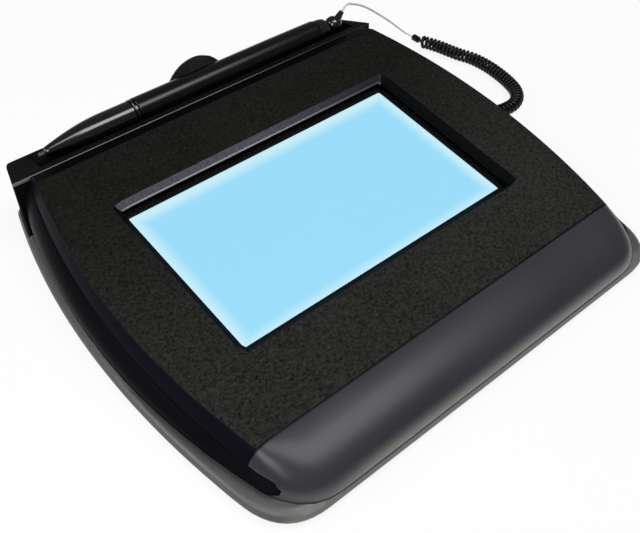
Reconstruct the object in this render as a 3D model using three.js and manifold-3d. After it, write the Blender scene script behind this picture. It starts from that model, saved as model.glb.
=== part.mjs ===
// Counter-top signature pad: a wedge-shaped casing round a lit screen, a pen lying in a rear tray,
// and the curly tether that holds the pen. Millimetres, Z up, the front towards -Y.
// The origin is on the table, under the middle of the casing.

import * as THREE from 'three';
import { mergeVertices } from 'three/addons/utils/BufferGeometryUtils.js';
import Module from 'manifold-3d';

const wasm = await Module();
wasm.setup();

// Clearances shared by the whole part
const fitGap = 0.3; // between pieces that touch or slide
const overrun = 5; // how far a cut runs past what it cuts
const cornerSteps = 5;
const sweepSteps = 14;
const roundSteps = 20;
const hoodRoundSteps = 28;

// Casing plan: every outline is bounded left and right by a long arc about its widest station.
// The shares are of the casing's depth.
const casingDepth = 171.8;
const frontY = -casingDepth / 2;
const backY = casingDepth / 2;
const hoodReach = 4.95; // socket hood behind the rear wall
const rearWallY = backY - hoodReach;
const coverSweepShare = 1.42;
const coverWidestShare = 0.46;
const baseSweepShare = 1.88;
const baseWidestShare = 0.426;
const coverSweep = {
  radius: casingDepth * coverSweepShare,
  y: frontY + casingDepth * coverWidestShare,
};
const baseSweep = {
  radius: casingDepth * baseSweepShare,
  y: frontY + casingDepth * baseWidestShare,
};

// Heights at the rear, from the table up: base, main board, data socket, tray floor and pen
const baseUnderside = 1.0; // the feet lift the base by this much
const baseFloor = 2.2; // thickness of the floor
const floorTop = baseUnderside + baseFloor;
const skirtBottom = floorTop + fitGap;
const boardLift = 3.0; // main board over the floor
const boardThickness = 1.6;
const boardZ = floorTop + boardLift;
const boardTop = boardZ + boardThickness;
const socketHeight = 10.8;
const socketZ = boardTop + fitGap;
const penRadius = 5.5;
const penSeatGap = 0.35;
const troughRadius = penRadius + penSeatGap;
const troughFloor = 2.75; // wall between the socket's pocket and the trough
const penHeight = socketZ + socketHeight + fitGap + troughFloor + troughRadius;
const trayLipRise = 0.9; // over the pen's axis
const trayFall = 4.1; // from the lip to the rear edge
const trayLipHeight = penHeight + trayLipRise;
const trayRearHeight = trayLipHeight - trayFall;

// Sloping deck
const deckTilt = THREE.MathUtils.degToRad(7.25);
const deckSlope = Math.tan(deckTilt);
const deckWall = 2.8;
const deckHalfWidth = 84.0;
const sideFlare = 5.3; // how much wider the cover is at its skirt than at the deck
const flareExponent = 2.6;
const coverSideInset = 4.8; // cover wall and the grip pocket in it
const coverNoseWall = 2.6;

// Screen and its window; across is X and up is along the deck's slope
const litWidthShare = 0.67857; // of the deck: the 114 mm viewing width of a 240 by 128 display
const litWidth = 2 * deckHalfWidth * litWidthShare;
const litDepthShare = 0.37253; // of the casing: its 64 mm viewing depth
const litDepth = casingDepth * litDepthShare;
const screenAcross = -1.4;
const screenUp = -3.7;
const windowAcross = -0.9;
const windowUp = -3.7;
const windowSideMargin = 4.1;
const windowEndMargin = 4.4;
const windowWidth = litWidth + 2 * windowSideMargin;
const windowDepth = litDepth + 2 * windowEndMargin;
const windowBevel = 2.0;
const windowRim = 0.7; // upright edge under the bevel
const windowCorner = 1.5;

// Screen stack, listed by depth below the deck's surface
const gasketThickness = 0.3;
const lensThickness = 0.8;
const bezelThickness = 0.4;
const panelThickness = 1.8;
const guideThickness = 3.0;
const sensorThickness = 1.2;
const shieldThickness = 0.5;
const gasketDepth = deckWall + fitGap;
const lensDepth = gasketDepth + gasketThickness + fitGap;
const bezelDepth = lensDepth + lensThickness + fitGap;
const panelDepth = bezelDepth + bezelThickness + fitGap;
const guideDepth = panelDepth + panelThickness + fitGap;
const sensorDepth = guideDepth + guideThickness + fitGap;
const shieldDepth = sensorDepth + sensorThickness + fitGap;
const shieldFoot = shieldDepth + shieldThickness;
const panelBorder = 7; // glass left and right of the lit area
const panelEndBorder = 5.5; // and before and behind it
const bezelWall = 0.6;
const stackWidth = litWidth + 2 * (panelBorder + bezelWall + fitGap);
const stackDepth = litDepth + 2 * (panelEndBorder + bezelWall + fitGap);

// The deck stands so high that the stack's front edge clears the floor
const stackFloorRoom = 3.12;
const stackFrontUp = screenUp - stackDepth / 2;
const stackRearUp = screenUp + stackDepth / 2;
const stackFrontDrop = shieldFoot * Math.cos(deckTilt) - stackFrontUp * Math.sin(deckTilt);
const deckHeight = floorTop + stackFloorRoom + stackFrontDrop; // over the table at y = 0

// Rounded nose in front of the deck
const noseReach = 20.0;
const noseSetback = 0.5; // nose behind the front edge of the base
const noseDropShare = 0.815; // of the deck's height over the cover's skirt at the nose's front
const noseSteps = 8;
const noseTuckReach = 0.7; // the nose turns back under by this much
const coverCorner = 14;
const coverRearCorner = 0.8;
const deckFrontY = frontY + noseSetback + noseReach;

// Base flange
const flangeReach = 7.9; // wider than the deck
const flangeHalfWidth = deckHalfWidth + flangeReach;
const flangeTop = 5.2;
const flangeFrontCorner = 15;
const flangeRearCorner = 4.2;
const flangeRearReach = 0.6; // behind the rear wall

// Rear tray
const trayFrontDepth = 18.4; // tray from its front lip to the rear wall
const trayFrontY = rearWallY - trayFrontDepth;
const trayReach = 6.6; // wider than the deck, at the widest station
const trayHalfWidth = deckHalfWidth + trayReach;
const trayRearRound = 2.5;
const trayRearCorner = 5;
const trayFrontCorner = 0.8;
const trayWall = 2.4;
const chamferReach = 7.4; // the cover slopes down to the tray over this length
const chamferY = trayFrontY - chamferReach;

// Pen, lying along X
const penSetback = 8.5; // axis before the rear wall
const penY = rearWallY - penSetback;
const penTipX = -67.4;
const noseLength = 35.6;
const nibReach = 2.6;
const barrelLength = 86.8;
const ringWidth = 1.2;
const capLength = 5.0;
const eyeLength = 8.9;
const nibTravel = 0.6;
const noseFrontX = penTipX + nibReach;
const noseRearX = noseFrontX + noseLength;
const ringX = noseRearX + fitGap;
const barrelX = ringX + ringWidth + fitGap;
const barrelEndX = barrelX + barrelLength;
const capX = barrelEndX + fitGap;
const capEndX = capX + capLength;
const eyeX = capEndX + fitGap;
const penEndX = eyeX + eyeLength;

// Colours and finishes
const finishes = {
  casing: { color: 0x2e2d2b, roughness: 0.72, metalness: 0 },
  base: { color: 0x45453f, roughness: 0.55, metalness: 0 },
  grip: { color: 0x232329, roughness: 0.35, metalness: 0 },
  tray: { color: 0x262625, roughness: 0.6, metalness: 0 },
  lens: { color: 0xdfe9ee, roughness: 0.05, metalness: 0, transparent: true, opacity: 0.2 },
  foam: { color: 0x0c0c0c, roughness: 0.95, metalness: 0 },
  lit: { color: 0x9bdcfa, roughness: 0.3, metalness: 0, emissive: 0x9bdcfa, emissiveIntensity: 0.9 },
  guide: { color: 0xe6efe9, roughness: 0.25, metalness: 0 },
  steel: { color: 0x9a9c9e, roughness: 0.35, metalness: 1 },
  black: { color: 0x121214, roughness: 0.4, metalness: 0 },
  board: { color: 0x1d5a34, roughness: 0.5, metalness: 0 },
  chip: { color: 0x17171a, roughness: 0.45, metalness: 0 },
  flex: { color: 0xb0722a, roughness: 0.4, metalness: 0 },
  rubber: { color: 0x151515, roughness: 0.9, metalness: 0 },
  penGloss: { color: 0x101014, roughness: 0.12, metalness: 0 },
  penMatte: { color: 0x2a2a2c, roughness: 0.5, metalness: 0 },
  nib: { color: 0xd8d8d2, roughness: 0.4, metalness: 0 },
  copper: { color: 0xa85a2c, roughness: 0.35, metalness: 1 },
  cord: { color: 0x19191b, roughness: 0.35, metalness: 0 },
  string: { color: 0x6d6f70, roughness: 0.4, metalness: 0 },
};

const pad = new THREE.Group();
const deck = new THREE.Group(); // everything parallel to the sloping deck, z = 0 on the deck
deck.rotation.x = deckTilt;
deck.position.z = deckHeight;
pad.add(deck);
deck.updateMatrixWorld(true);

function piece(parent, name, finish, geometry) {
  const material = new THREE.MeshStandardMaterial(finishes[finish]);
  const mesh = new THREE.Mesh(geometry, material);
  mesh.name = name;
  parent.add(mesh);
  return mesh;
}

// Solids: a closed mesh becomes a manifold for cutting and joining, and turns back afterwards
function bare(geometry) {
  const copy = geometry.clone();
  copy.deleteAttribute('normal');
  copy.deleteAttribute('uv');
  return mergeVertices(copy);
}

function solidOf(geometry) {
  const merged = bare(geometry);
  return new wasm.Manifold(new wasm.Mesh({
    numProp: 3,
    vertProperties: merged.attributes.position.array,
    triVerts: Uint32Array.from(merged.index.array),
  }));
}

function geometryOf(solid) {
  const mesh = solid.getMesh();
  const geometry = new THREE.BufferGeometry();
  geometry.setAttribute('position', new THREE.BufferAttribute(mesh.vertProperties, mesh.numProp));
  geometry.setIndex(new THREE.BufferAttribute(mesh.triVerts, 1));
  const loose = geometry.toNonIndexed();
  loose.computeVertexNormals();
  return loose;
}

function cutAway(solid, ...cutters) {
  return cutters.reduce((rest, cutter) => rest.subtract(cutter), solid);
}

function joined(...solids) {
  return solids.reduce((whole, next) => whole.add(next));
}

// Basic shapes, given by where they lie
function box(fromX, toX, fromY, toY, fromZ, toZ) {
  const geometry = new THREE.BoxGeometry(toX - fromX, toY - fromY, toZ - fromZ);
  geometry.translate((fromX + toX) / 2, (fromY + toY) / 2, (fromZ + toZ) / 2);
  return geometry;
}

function post(radius, x, y, fromZ, toZ, steps = roundSteps) {
  const geometry = new THREE.CylinderGeometry(radius, radius, toZ - fromZ, steps);
  geometry.rotateX(Math.PI / 2);
  geometry.translate(x, y, (fromZ + toZ) / 2);
  return geometry;
}

function roundedRectangle(width, depth, corner, centreX = 0, centreY = 0) {
  const right = centreX + width / 2;
  const left = centreX - width / 2;
  const top = centreY + depth / 2;
  const bottom = centreY - depth / 2;
  const shape = new THREE.Shape();
  shape.moveTo(left + corner, bottom);
  shape.lineTo(right - corner, bottom);
  shape.absarc(right - corner, bottom + corner, corner, -Math.PI / 2, 0);
  shape.lineTo(right, top - corner);
  shape.absarc(right - corner, top - corner, corner, 0, Math.PI / 2);
  shape.lineTo(left + corner, top);
  shape.absarc(left + corner, top - corner, corner, Math.PI / 2, Math.PI);
  shape.lineTo(left, bottom + corner);
  shape.absarc(left + corner, bottom + corner, corner, Math.PI, Math.PI * 1.5);
  return shape;
}

function plate(shape, fromZ, toZ, curveSegments = cornerSteps) {
  const geometry = new THREE.ExtrudeGeometry(shape, {
    depth: toZ - fromZ,
    bevelEnabled: false,
    curveSegments,
  });
  geometry.translate(0, 0, fromZ);
  return geometry;
}

// A profile drawn in the YZ plane and run along X
const alongX = new THREE.Matrix4().makeBasis(
  new THREE.Vector3(0, 1, 0),
  new THREE.Vector3(0, 0, 1),
  new THREE.Vector3(1, 0, 0),
);

function runAlongX(shape, fromX, toX, curveSegments = cornerSteps) {
  const geometry = new THREE.ExtrudeGeometry(shape, {
    depth: toX - fromX,
    bevelEnabled: false,
    curveSegments,
  });
  geometry.applyMatrix4(alongX);
  geometry.translate(fromX, 0, 0);
  return geometry;
}

// A turned piece on the pen's axis: pairs of [x, radius] from the tip's end to the tether's end
function turnedAlongPen(outline, steps = roundSteps) {
  const points = outline.map(([x, radius]) => new THREE.Vector2(radius, x));
  const geometry = new THREE.LatheGeometry(points, steps);
  geometry.rotateZ(-Math.PI / 2);
  geometry.translate(0, penY, penHeight);
  return geometry;
}

// A loft through rings of equal count, lowest first, each running counterclockwise seen from above
function loft(rings) {
  const count = rings[0].length;
  const positions = rings.flat().flatMap((point) => [point.x, point.y, point.z]);
  const indices = [];
  for (let level = 0; level < rings.length - 1; level += 1) {
    for (let i = 0; i < count; i += 1) {
      const next = (i + 1) % count;
      const low = level * count;
      const high = low + count;
      indices.push(low + i, low + next, high + next, low + i, high + next, high + i);
    }
  }
  const closeWith = (level, upward) => {
    const middle = new THREE.Vector3();
    rings[level].forEach((point) => middle.addScaledVector(point, 1 / count));
    const centre = positions.length / 3;
    positions.push(middle.x, middle.y, middle.z);
    for (let i = 0; i < count; i += 1) {
      const next = (i + 1) % count;
      const first = level * count + (upward ? i : next);
      const second = level * count + (upward ? next : i);
      indices.push(centre, first, second);
    }
  };
  closeWith(0, false);
  closeWith(rings.length - 1, true);
  const geometry = new THREE.BufferGeometry();
  geometry.setAttribute('position', new THREE.Float32BufferAttribute(positions, 3));
  geometry.setIndex(indices);
  return geometry;
}

// Half width of an outline with the given widest half width, at a station along Y
function halfWidthAt(wide, y, sweep) {
  const offset = y - sweep.y;
  return wide - (sweep.radius - Math.sqrt(sweep.radius ** 2 - offset ** 2));
}

// One plan outline of the casing: straight front and rear, rounded corners, sides on an arc
function planRing({ wide, front, rear, frontCorner, rearCorner, sweep, heightAt }) {
  const half = (y) => halfWidthAt(wide, y, sweep);
  const frontBend = new THREE.QuadraticBezierCurve(
    new THREE.Vector2(half(front) - frontCorner, front),
    new THREE.Vector2(half(front), front),
    new THREE.Vector2(half(front + frontCorner), front + frontCorner),
  );
  const rearBend = new THREE.QuadraticBezierCurve(
    new THREE.Vector2(half(rear - rearCorner), rear - rearCorner),
    new THREE.Vector2(half(rear), rear),
    new THREE.Vector2(half(rear) - rearCorner, rear),
  );
  const side = frontBend.getPoints(cornerSteps);
  for (let i = 1; i < sweepSteps; i += 1) {
    const y = THREE.MathUtils.lerp(front + frontCorner, rear - rearCorner, i / sweepSteps);
    side.push(new THREE.Vector2(half(y), y));
  }
  side.push(...rearBend.getPoints(cornerSteps));
  const right = side.map((point) => new THREE.Vector3(point.x, point.y, heightAt(point.y)));
  const left = side.map((point) => new THREE.Vector3(-point.x, point.y, heightAt(point.y)));
  return [...right, ...left.reverse()];
}

function deckZ(y) {
  return deckHeight + deckSlope * y;
}

// The cover's outside is ruled between the deck, share 0, and its level skirt, share 1
function coverShareAt(y, z) {
  return (deckZ(y) - z) / (deckZ(y) - skirtBottom);
}

function coverWide(share) {
  return deckHalfWidth + sideFlare * (1 - (1 - share) ** flareExponent);
}

function coverLevels() {
  const levels = [];
  const noseDrop = noseDropShare * (deckZ(deckFrontY - noseReach) - skirtBottom);
  for (let i = 0; i <= noseSteps; i += 1) {
    const turn = (i / noseSteps) * (Math.PI / 2);
    const front = deckFrontY - noseReach * Math.sin(turn);
    const share = (noseDrop * (1 - Math.cos(turn))) / (deckZ(front) - skirtBottom);
    levels.push({ share, front });
  }
  levels.push({ share: 1, front: deckFrontY - noseReach + noseTuckReach });
  return levels.reverse();
}

function coverBody({ grow = 0, sideInset = 0, noseInset = 0, deckInset = 0, rear, bottomDrop = 0 }) {
  const rings = coverLevels().map(({ share, front }) => planRing({
    wide: coverWide(share) + grow - sideInset,
    front: front - grow + noseInset,
    rear,
    frontCorner: coverCorner,
    rearCorner: coverRearCorner,
    sweep: coverSweep,
    heightAt: (y) => {
      const top = deckZ(y) + grow - deckInset;
      const bottom = skirtBottom - bottomDrop;
      return top + (bottom - top) * share;
    },
  }));
  return solidOf(loft(rings));
}

// Side grips: long wedge panels let into the cover, tall at the rear and rounded off at the front
const gripFrontSetback = 10;
const gripFrontY = frontY + gripFrontSetback;
const gripRearSetback = 1.2;
const gripRearY = trayFrontY - gripRearSetback;
const gripBelowDeck = 5.2;
const gripFlangeGap = 0.5;
const gripFootHeight = flangeTop + gripFlangeGap;
const gripRoundReach = 3.2; // length of the rounded front end
const gripEndShare = 0.35; // height left at the very end
const gripDepth = 2.0; // let into the cover
const gripBulge = 1.4; // stands proud of the cover at its middle
const gripEdgeSink = 0.7; // its edges lie below the cover's surface
const gripStations = 22;
const gripRows = 7;
const gripCrowding = 1.3; // stations crowd towards the rounded front end

function coverSideX(y, z) {
  const share = THREE.MathUtils.clamp(coverShareAt(y, z), 0, 1);
  return halfWidthAt(coverWide(share), y, coverSweep);
}

// A panel on the cover's right side, or on its left with hand -1, between two surfaces along X
function sidePanel({ hand, grow, innerX, outerX, stations, rows }) {
  const front = gripFrontY - grow;
  const rear = gripRearY + grow;
  const inner = [];
  const outer = [];
  for (let i = 0; i <= stations; i += 1) {
    const y = THREE.MathUtils.lerp(front, rear, (i / stations) ** gripCrowding);
    const top = deckZ(y) - gripBelowDeck + grow;
    const bottom = gripFootHeight - grow;
    const intoEnd = Math.min((y - front) / gripRoundReach, 1);
    const rounding = Math.sqrt(1 - (1 - intoEnd) ** 2);
    const halfHeight = ((top - bottom) / 2) * Math.max(rounding, gripEndShare);
    const middle = (top + bottom) / 2;
    for (let k = 0; k <= rows; k += 1) {
      const turn = (k / rows - 0.5) * Math.PI;
      const z = middle + halfHeight * Math.sin(turn);
      inner.push(hand * innerX(y, z), y, z);
      outer.push(hand * outerX(y, z, Math.cos(turn) * Math.max(rounding, gripEndShare)), y, z);
    }
  }
  const count = inner.length / 3;
  const at = (i, k) => i * (rows + 1) + k;
  const indices = [];
  const quad = (a, b, c, d) => {
    if (hand > 0) indices.push(a, b, c, a, c, d);
    else indices.push(a, c, b, a, d, c);
  };
  for (let i = 0; i < stations; i += 1) {
    for (let k = 0; k < rows; k += 1) {
      quad(count + at(i, k), count + at(i + 1, k), count + at(i + 1, k + 1), count + at(i, k + 1));
      quad(at(i, k), at(i, k + 1), at(i + 1, k + 1), at(i + 1, k));
    }
    quad(at(i, 0), at(i + 1, 0), count + at(i + 1, 0), count + at(i, 0));
    quad(at(i, rows), count + at(i, rows), count + at(i + 1, rows), at(i + 1, rows));
  }
  for (let k = 0; k < rows; k += 1) {
    quad(at(0, k), count + at(0, k), count + at(0, k + 1), at(0, k + 1));
    quad(at(stations, k), at(stations, k + 1), count + at(stations, k + 1), count + at(stations, k));
  }
  const geometry = new THREE.BufferGeometry();
  geometry.setAttribute('position', new THREE.Float32BufferAttribute([...inner, ...outer], 3));
  geometry.setIndex(indices);
  return geometry;
}

function gripPocket(hand) {
  return solidOf(sidePanel({
    hand,
    grow: fitGap,
    innerX: (y, z) => coverSideX(y, z) - gripDepth - fitGap,
    outerX: (y, z) => coverSideX(y, z) + overrun,
    stations: gripStations,
    rows: gripRows,
  }));
}

function gripPanel(hand) {
  return sidePanel({
    hand,
    grow: 0,
    innerX: (y, z) => coverSideX(y, z) - gripDepth,
    outerX: (y, z, crown) => coverSideX(y, z) - gripEdgeSink + (gripBulge + gripEdgeSink) * crown,
    stations: gripStations,
    rows: gripRows,
  });
}

// Case screws, driven from below through the base into the cover's posts
const caseScrewFrontInset = 13.2; // inside the deck's widest half width
const caseScrewRearInset = 17;
const caseScrewFrontSetback = 27.9;
const caseScrewRearSetback = 31;
const caseScrewFrontX = deckHalfWidth - caseScrewFrontInset;
const caseScrewFrontY = frontY + caseScrewFrontSetback;
const caseScrewRearX = deckHalfWidth - caseScrewRearInset;
const caseScrewRearY = rearWallY - caseScrewRearSetback;
const caseScrewPlaces = [
  ['front_left', -caseScrewFrontX, caseScrewFrontY],
  ['front_right', caseScrewFrontX, caseScrewFrontY],
  ['rear_left', -caseScrewRearX, caseScrewRearY],
  ['rear_right', caseScrewRearX, caseScrewRearY],
];
const screwRadius = 1.3;
const screwHeadRadius = 2.6;
const screwHeadHeight = 1.8;
const screwTipRoom = 0.55; // under the deck's wall at the front screws
const screwHeadZ = baseUnderside + fitGap;
const screwTipZ = deckZ(caseScrewFrontY) - deckWall - screwTipRoom;
const screwLength = screwTipZ - screwHeadZ;
const screwBossRadius = 3.4;
const coverPostZ = 9.3;
const postRootDepth = 1.3; // how far a post stands into the deck's wall, measured from its top

// Window in the deck, bevelled inwards on all four sides
function windowCutter() {
  const bevelDepth = deckWall - windowRim;
  const spread = (depth) => windowBevel * Math.max(1 - depth / bevelDepth, 0);
  const ringAt = (depth) => {
    const width = windowWidth - 2 * windowBevel + 2 * spread(depth);
    const height = windowDepth - 2 * windowBevel + 2 * spread(depth);
    const outline = roundedRectangle(width, height, windowCorner, windowAcross, windowUp);
    return outline.getSpacedPoints(roundSteps * 4).slice(0, -1)
      .map((point) => new THREE.Vector3(point.x, point.y, -depth));
  };
  const geometry = loft([ringAt(deckWall + overrun), ringAt(bevelDepth), ringAt(0), ringAt(-overrun)]);
  geometry.applyMatrix4(deck.matrixWorld);
  return solidOf(geometry);
}

// Above the slope that leads from the deck down to the tray's lip
function chamferCutter(lower) {
  const shape = new THREE.Shape();
  shape.moveTo(chamferY - lower, deckZ(chamferY) - lower);
  shape.lineTo(trayFrontY, trayLipHeight - lower);
  shape.lineTo(trayFrontY + overrun * 2, trayLipHeight - lower);
  shape.lineTo(trayFrontY + overrun * 2, deckZ(trayFrontY) + overrun);
  shape.lineTo(chamferY - lower, deckZ(trayFrontY) + overrun);
  shape.closePath();
  return solidOf(runAlongX(shape, -flangeHalfWidth, flangeHalfWidth));
}

function topCover() {
  const outside = coverBody({ rear: trayFrontY - fitGap });
  const hollow = cutAway(
    coverBody({
      sideInset: coverSideInset,
      noseInset: coverNoseWall,
      deckInset: deckWall,
      rear: trayFrontY + overrun,
      bottomDrop: overrun,
    }),
    chamferCutter(deckWall),
  );
  const shell = cutAway(outside, hollow, chamferCutter(0), windowCutter(), gripPocket(1), gripPocket(-1));
  const posts = caseScrewPlaces.map(([, x, y]) => {
    const solid = solidOf(post(screwBossRadius, x, y, coverPostZ, deckZ(y) - postRootDepth));
    const bore = solidOf(post(screwRadius + fitGap, x, y, coverPostZ - overrun, screwTipZ + fitGap));
    return cutAway(solid, bore);
  });
  return joined(shell, ...posts);
}

// Socket hood: a mound on the rear wall, round like an egg on top and straight below
const hoodX = 3.4;
const hoodHalfWidth = 16.2;
const hoodHalfDepth = 9.45;
const hoodShoulder = 16;
const hoodHeight = 36.7;
const hoodY = backY - hoodHalfDepth;
const hoodSteps = 6;

function hoodSolid(grow, fromZ) {
  const profile = [new THREE.Vector2(0, fromZ), new THREE.Vector2(1, fromZ)];
  for (let i = 0; i <= hoodSteps; i += 1) {
    const turn = (i / hoodSteps) * (Math.PI / 2);
    const z = hoodShoulder + (hoodHeight + grow - hoodShoulder) * Math.sin(turn);
    profile.push(new THREE.Vector2(i === hoodSteps ? 0 : Math.cos(turn), z));
  }
  const geometry = new THREE.LatheGeometry(profile, hoodRoundSteps);
  geometry.rotateX(Math.PI / 2);
  geometry.scale(hoodHalfWidth + grow, hoodHalfDepth + grow, 1);
  geometry.translate(hoodX, hoodY, 0);
  return solidOf(geometry);
}

// Data socket under the hood
const socketWidth = 15;
const socketDepth = 16;
const socketFaceReach = 1.85; // its face behind the rear wall
const socketFaceY = rearWallY + socketFaceReach;
const socketMouthWidth = 11.4;
const socketMouthHeight = 6.6;
const socketMouthDepth = 12;
const socketMouthFoot = 2.2; // floor under the mouth
const socketLatchWidth = 5.6;
const socketLatchHeight = 1.2;

function trayPlan(grow, fromZ, toZ) {
  const rings = [fromZ, toZ].map((z) => planRing({
    wide: trayHalfWidth + grow,
    front: trayFrontY - grow,
    rear: rearWallY + grow,
    frontCorner: trayFrontCorner,
    rearCorner: trayRearCorner,
    sweep: baseSweep,
    heightAt: () => z,
  }));
  return solidOf(loft(rings));
}

// The tray's cross-section: a top that falls to the rear and rounds over into the rear wall
function traySection() {
  const fall = trayFall / trayFrontDepth;
  const shape = new THREE.Shape();
  shape.moveTo(trayFrontY - overrun, skirtBottom - overrun);
  shape.lineTo(rearWallY, skirtBottom - overrun);
  shape.lineTo(rearWallY, trayRearHeight - trayRearRound);
  shape.quadraticCurveTo(
    rearWallY,
    trayRearHeight,
    rearWallY - trayRearRound,
    trayRearHeight + fall * trayRearRound,
  );
  shape.lineTo(trayFrontY - overrun, trayLipHeight + fall * overrun);
  shape.closePath();
  return solidOf(runAlongX(shape, -flangeHalfWidth, flangeHalfWidth));
}

const troughEndGap = 2.2;
const troughClearance = 3 * overrun; // the cut is open upwards

function penTrough() {
  const fromX = penTipX - troughEndGap;
  const toX = penEndX + troughEndGap;
  const shape = new THREE.Shape();
  shape.moveTo(penY - troughRadius, penHeight + troughClearance);
  shape.lineTo(penY - troughRadius, penHeight);
  shape.absarc(penY, penHeight, troughRadius, Math.PI, Math.PI * 2);
  shape.lineTo(penY + troughRadius, penHeight + troughClearance);
  shape.closePath();
  return solidOf(runAlongX(shape, fromX, toX, roundSteps));
}

function penTray() {
  const block = trayPlan(0, skirtBottom, trayLipHeight + overrun).intersect(traySection());
  const cavityTop = penHeight - troughRadius - trayWall;
  const cavityHalf = halfWidthAt(trayHalfWidth, rearWallY, baseSweep) - trayRearCorner;
  const cavity = solidOf(box(
    -cavityHalf,
    cavityHalf,
    trayFrontY - overrun,
    rearWallY - trayWall,
    skirtBottom - overrun,
    cavityTop,
  ));
  const pocket = solidOf(box(
    hoodX - socketWidth / 2 - fitGap,
    hoodX + socketWidth / 2 + fitGap,
    trayFrontY - overrun,
    backY + overrun,
    socketZ - fitGap,
    socketZ + socketHeight + fitGap,
  ));
  return cutAway(joined(block, hoodSolid(0, skirtBottom)), penTrough(), cavity, pocket);
}

// Base: floor and the flange that runs round the cover's skirt
const flangeRound = 2.2; // how far its top edge rounds off inwards
const flangeRoundHeight = 1.0;
const flangeLowRound = 1.6; // the same for its lower edge
const flangeLowRoundHeight = 0.8;
const flangeLowShare = 0.2; // of the low rounding left at its upper end
const flangeHighShare = 0.25; // of the top rounding reached at its lower end
const flangeStepDrop = 0.1; // the widest level lies just under the floor's top
const flangeLevels = [
  { z: baseUnderside, inset: flangeLowRound },
  { z: baseUnderside + flangeLowRoundHeight, inset: flangeLowRound * flangeLowShare },
  { z: floorTop - flangeStepDrop, inset: 0 },
  { z: flangeTop - flangeRoundHeight, inset: flangeRound * flangeHighShare },
  { z: flangeTop, inset: flangeRound },
];
const footRadius = 5.5;
const footHeight = 1.5;
const footRecess = 0.8;
const footBevel = 0.4;
const frontFootInset = 13.4; // inside the deck's widest half width
const rearFootInset = 18.2;
const frontFootSetback = 14;
const rearFootSetback = 11;
const frontFootX = deckHalfWidth - frontFootInset;
const frontFootY = frontY + frontFootSetback;
const rearFootX = deckHalfWidth - rearFootInset;
const rearFootY = rearWallY - rearFootSetback;
const footPlaces = [
  ['front_left', -frontFootX, frontFootY],
  ['front_right', frontFootX, frontFootY],
  ['rear_left', -rearFootX, rearFootY],
  ['rear_right', rearFootX, rearFootY],
];

// Main board, lying flat on bosses behind the screen's middle
const boardX = hoodX;
const boardSideRoom = 64; // less wide than the deck
const boardWidth = 2 * deckHalfWidth - boardSideRoom;
const boardDepth = 62;
const boardRearGap = 4.6;
const boardRearY = rearWallY - trayWall - boardRearGap;
const boardFrontY = boardRearY - boardDepth;
const boardCorner = 2;
const boardScrewInset = 4.5;
const boardScrewRadius = 1.0;
const boardScrewHeadRadius = 2.0;
const boardScrewHeadHeight = 1.4;
const boardBossRadius = 3.0;
const boardHoleRadius = boardScrewRadius + fitGap;
const boardScrewPlaces = [
  ['front_left', boardX - boardWidth / 2 + boardScrewInset, boardFrontY + boardScrewInset],
  ['front_right', boardX + boardWidth / 2 - boardScrewInset, boardFrontY + boardScrewInset],
  ['rear_left', boardX - boardWidth / 2 + boardScrewInset, boardRearY - boardScrewInset],
  ['rear_right', boardX + boardWidth / 2 - boardScrewInset, boardRearY - boardScrewInset],
];

// Tether anchor: a small block clipped into a notch in the flange
const anchorY = 7.6;
const anchorWidth = 4.8;
const anchorHeight = 3.8;
const anchorNoseLength = 4;
const anchorNoseRadius = 1.7;
const anchorNoseTipRadius = 1.0;
const cordRadius = 0.5;
const cordAxisZ = baseUnderside + anchorHeight / 2 + fitGap / 2;
const anchorTongue = 2.8; // reaches in under the cover's skirt
const anchorInnerX = halfWidthAt(coverWide(1), anchorY, coverSweep) + fitGap;
const anchorFaceReach = 1.4; // beyond the flange
const anchorFaceX = halfWidthAt(flangeHalfWidth, anchorY, baseSweep) + anchorFaceReach;

function tilted(geometry) {
  geometry.applyMatrix4(deck.matrixWorld);
  return solidOf(geometry);
}

const supportRadius = 2.6;
const supportInset = 31.2; // inside the deck's widest half width
const supportSpreadX = deckHalfWidth - supportInset;
const supportFrontSetback = 49.9;
const supportFrontY = frontY + supportFrontSetback;
const supportBoardGap = 3.5;
const supportRearY = boardFrontY - supportRadius - supportBoardGap;

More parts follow.
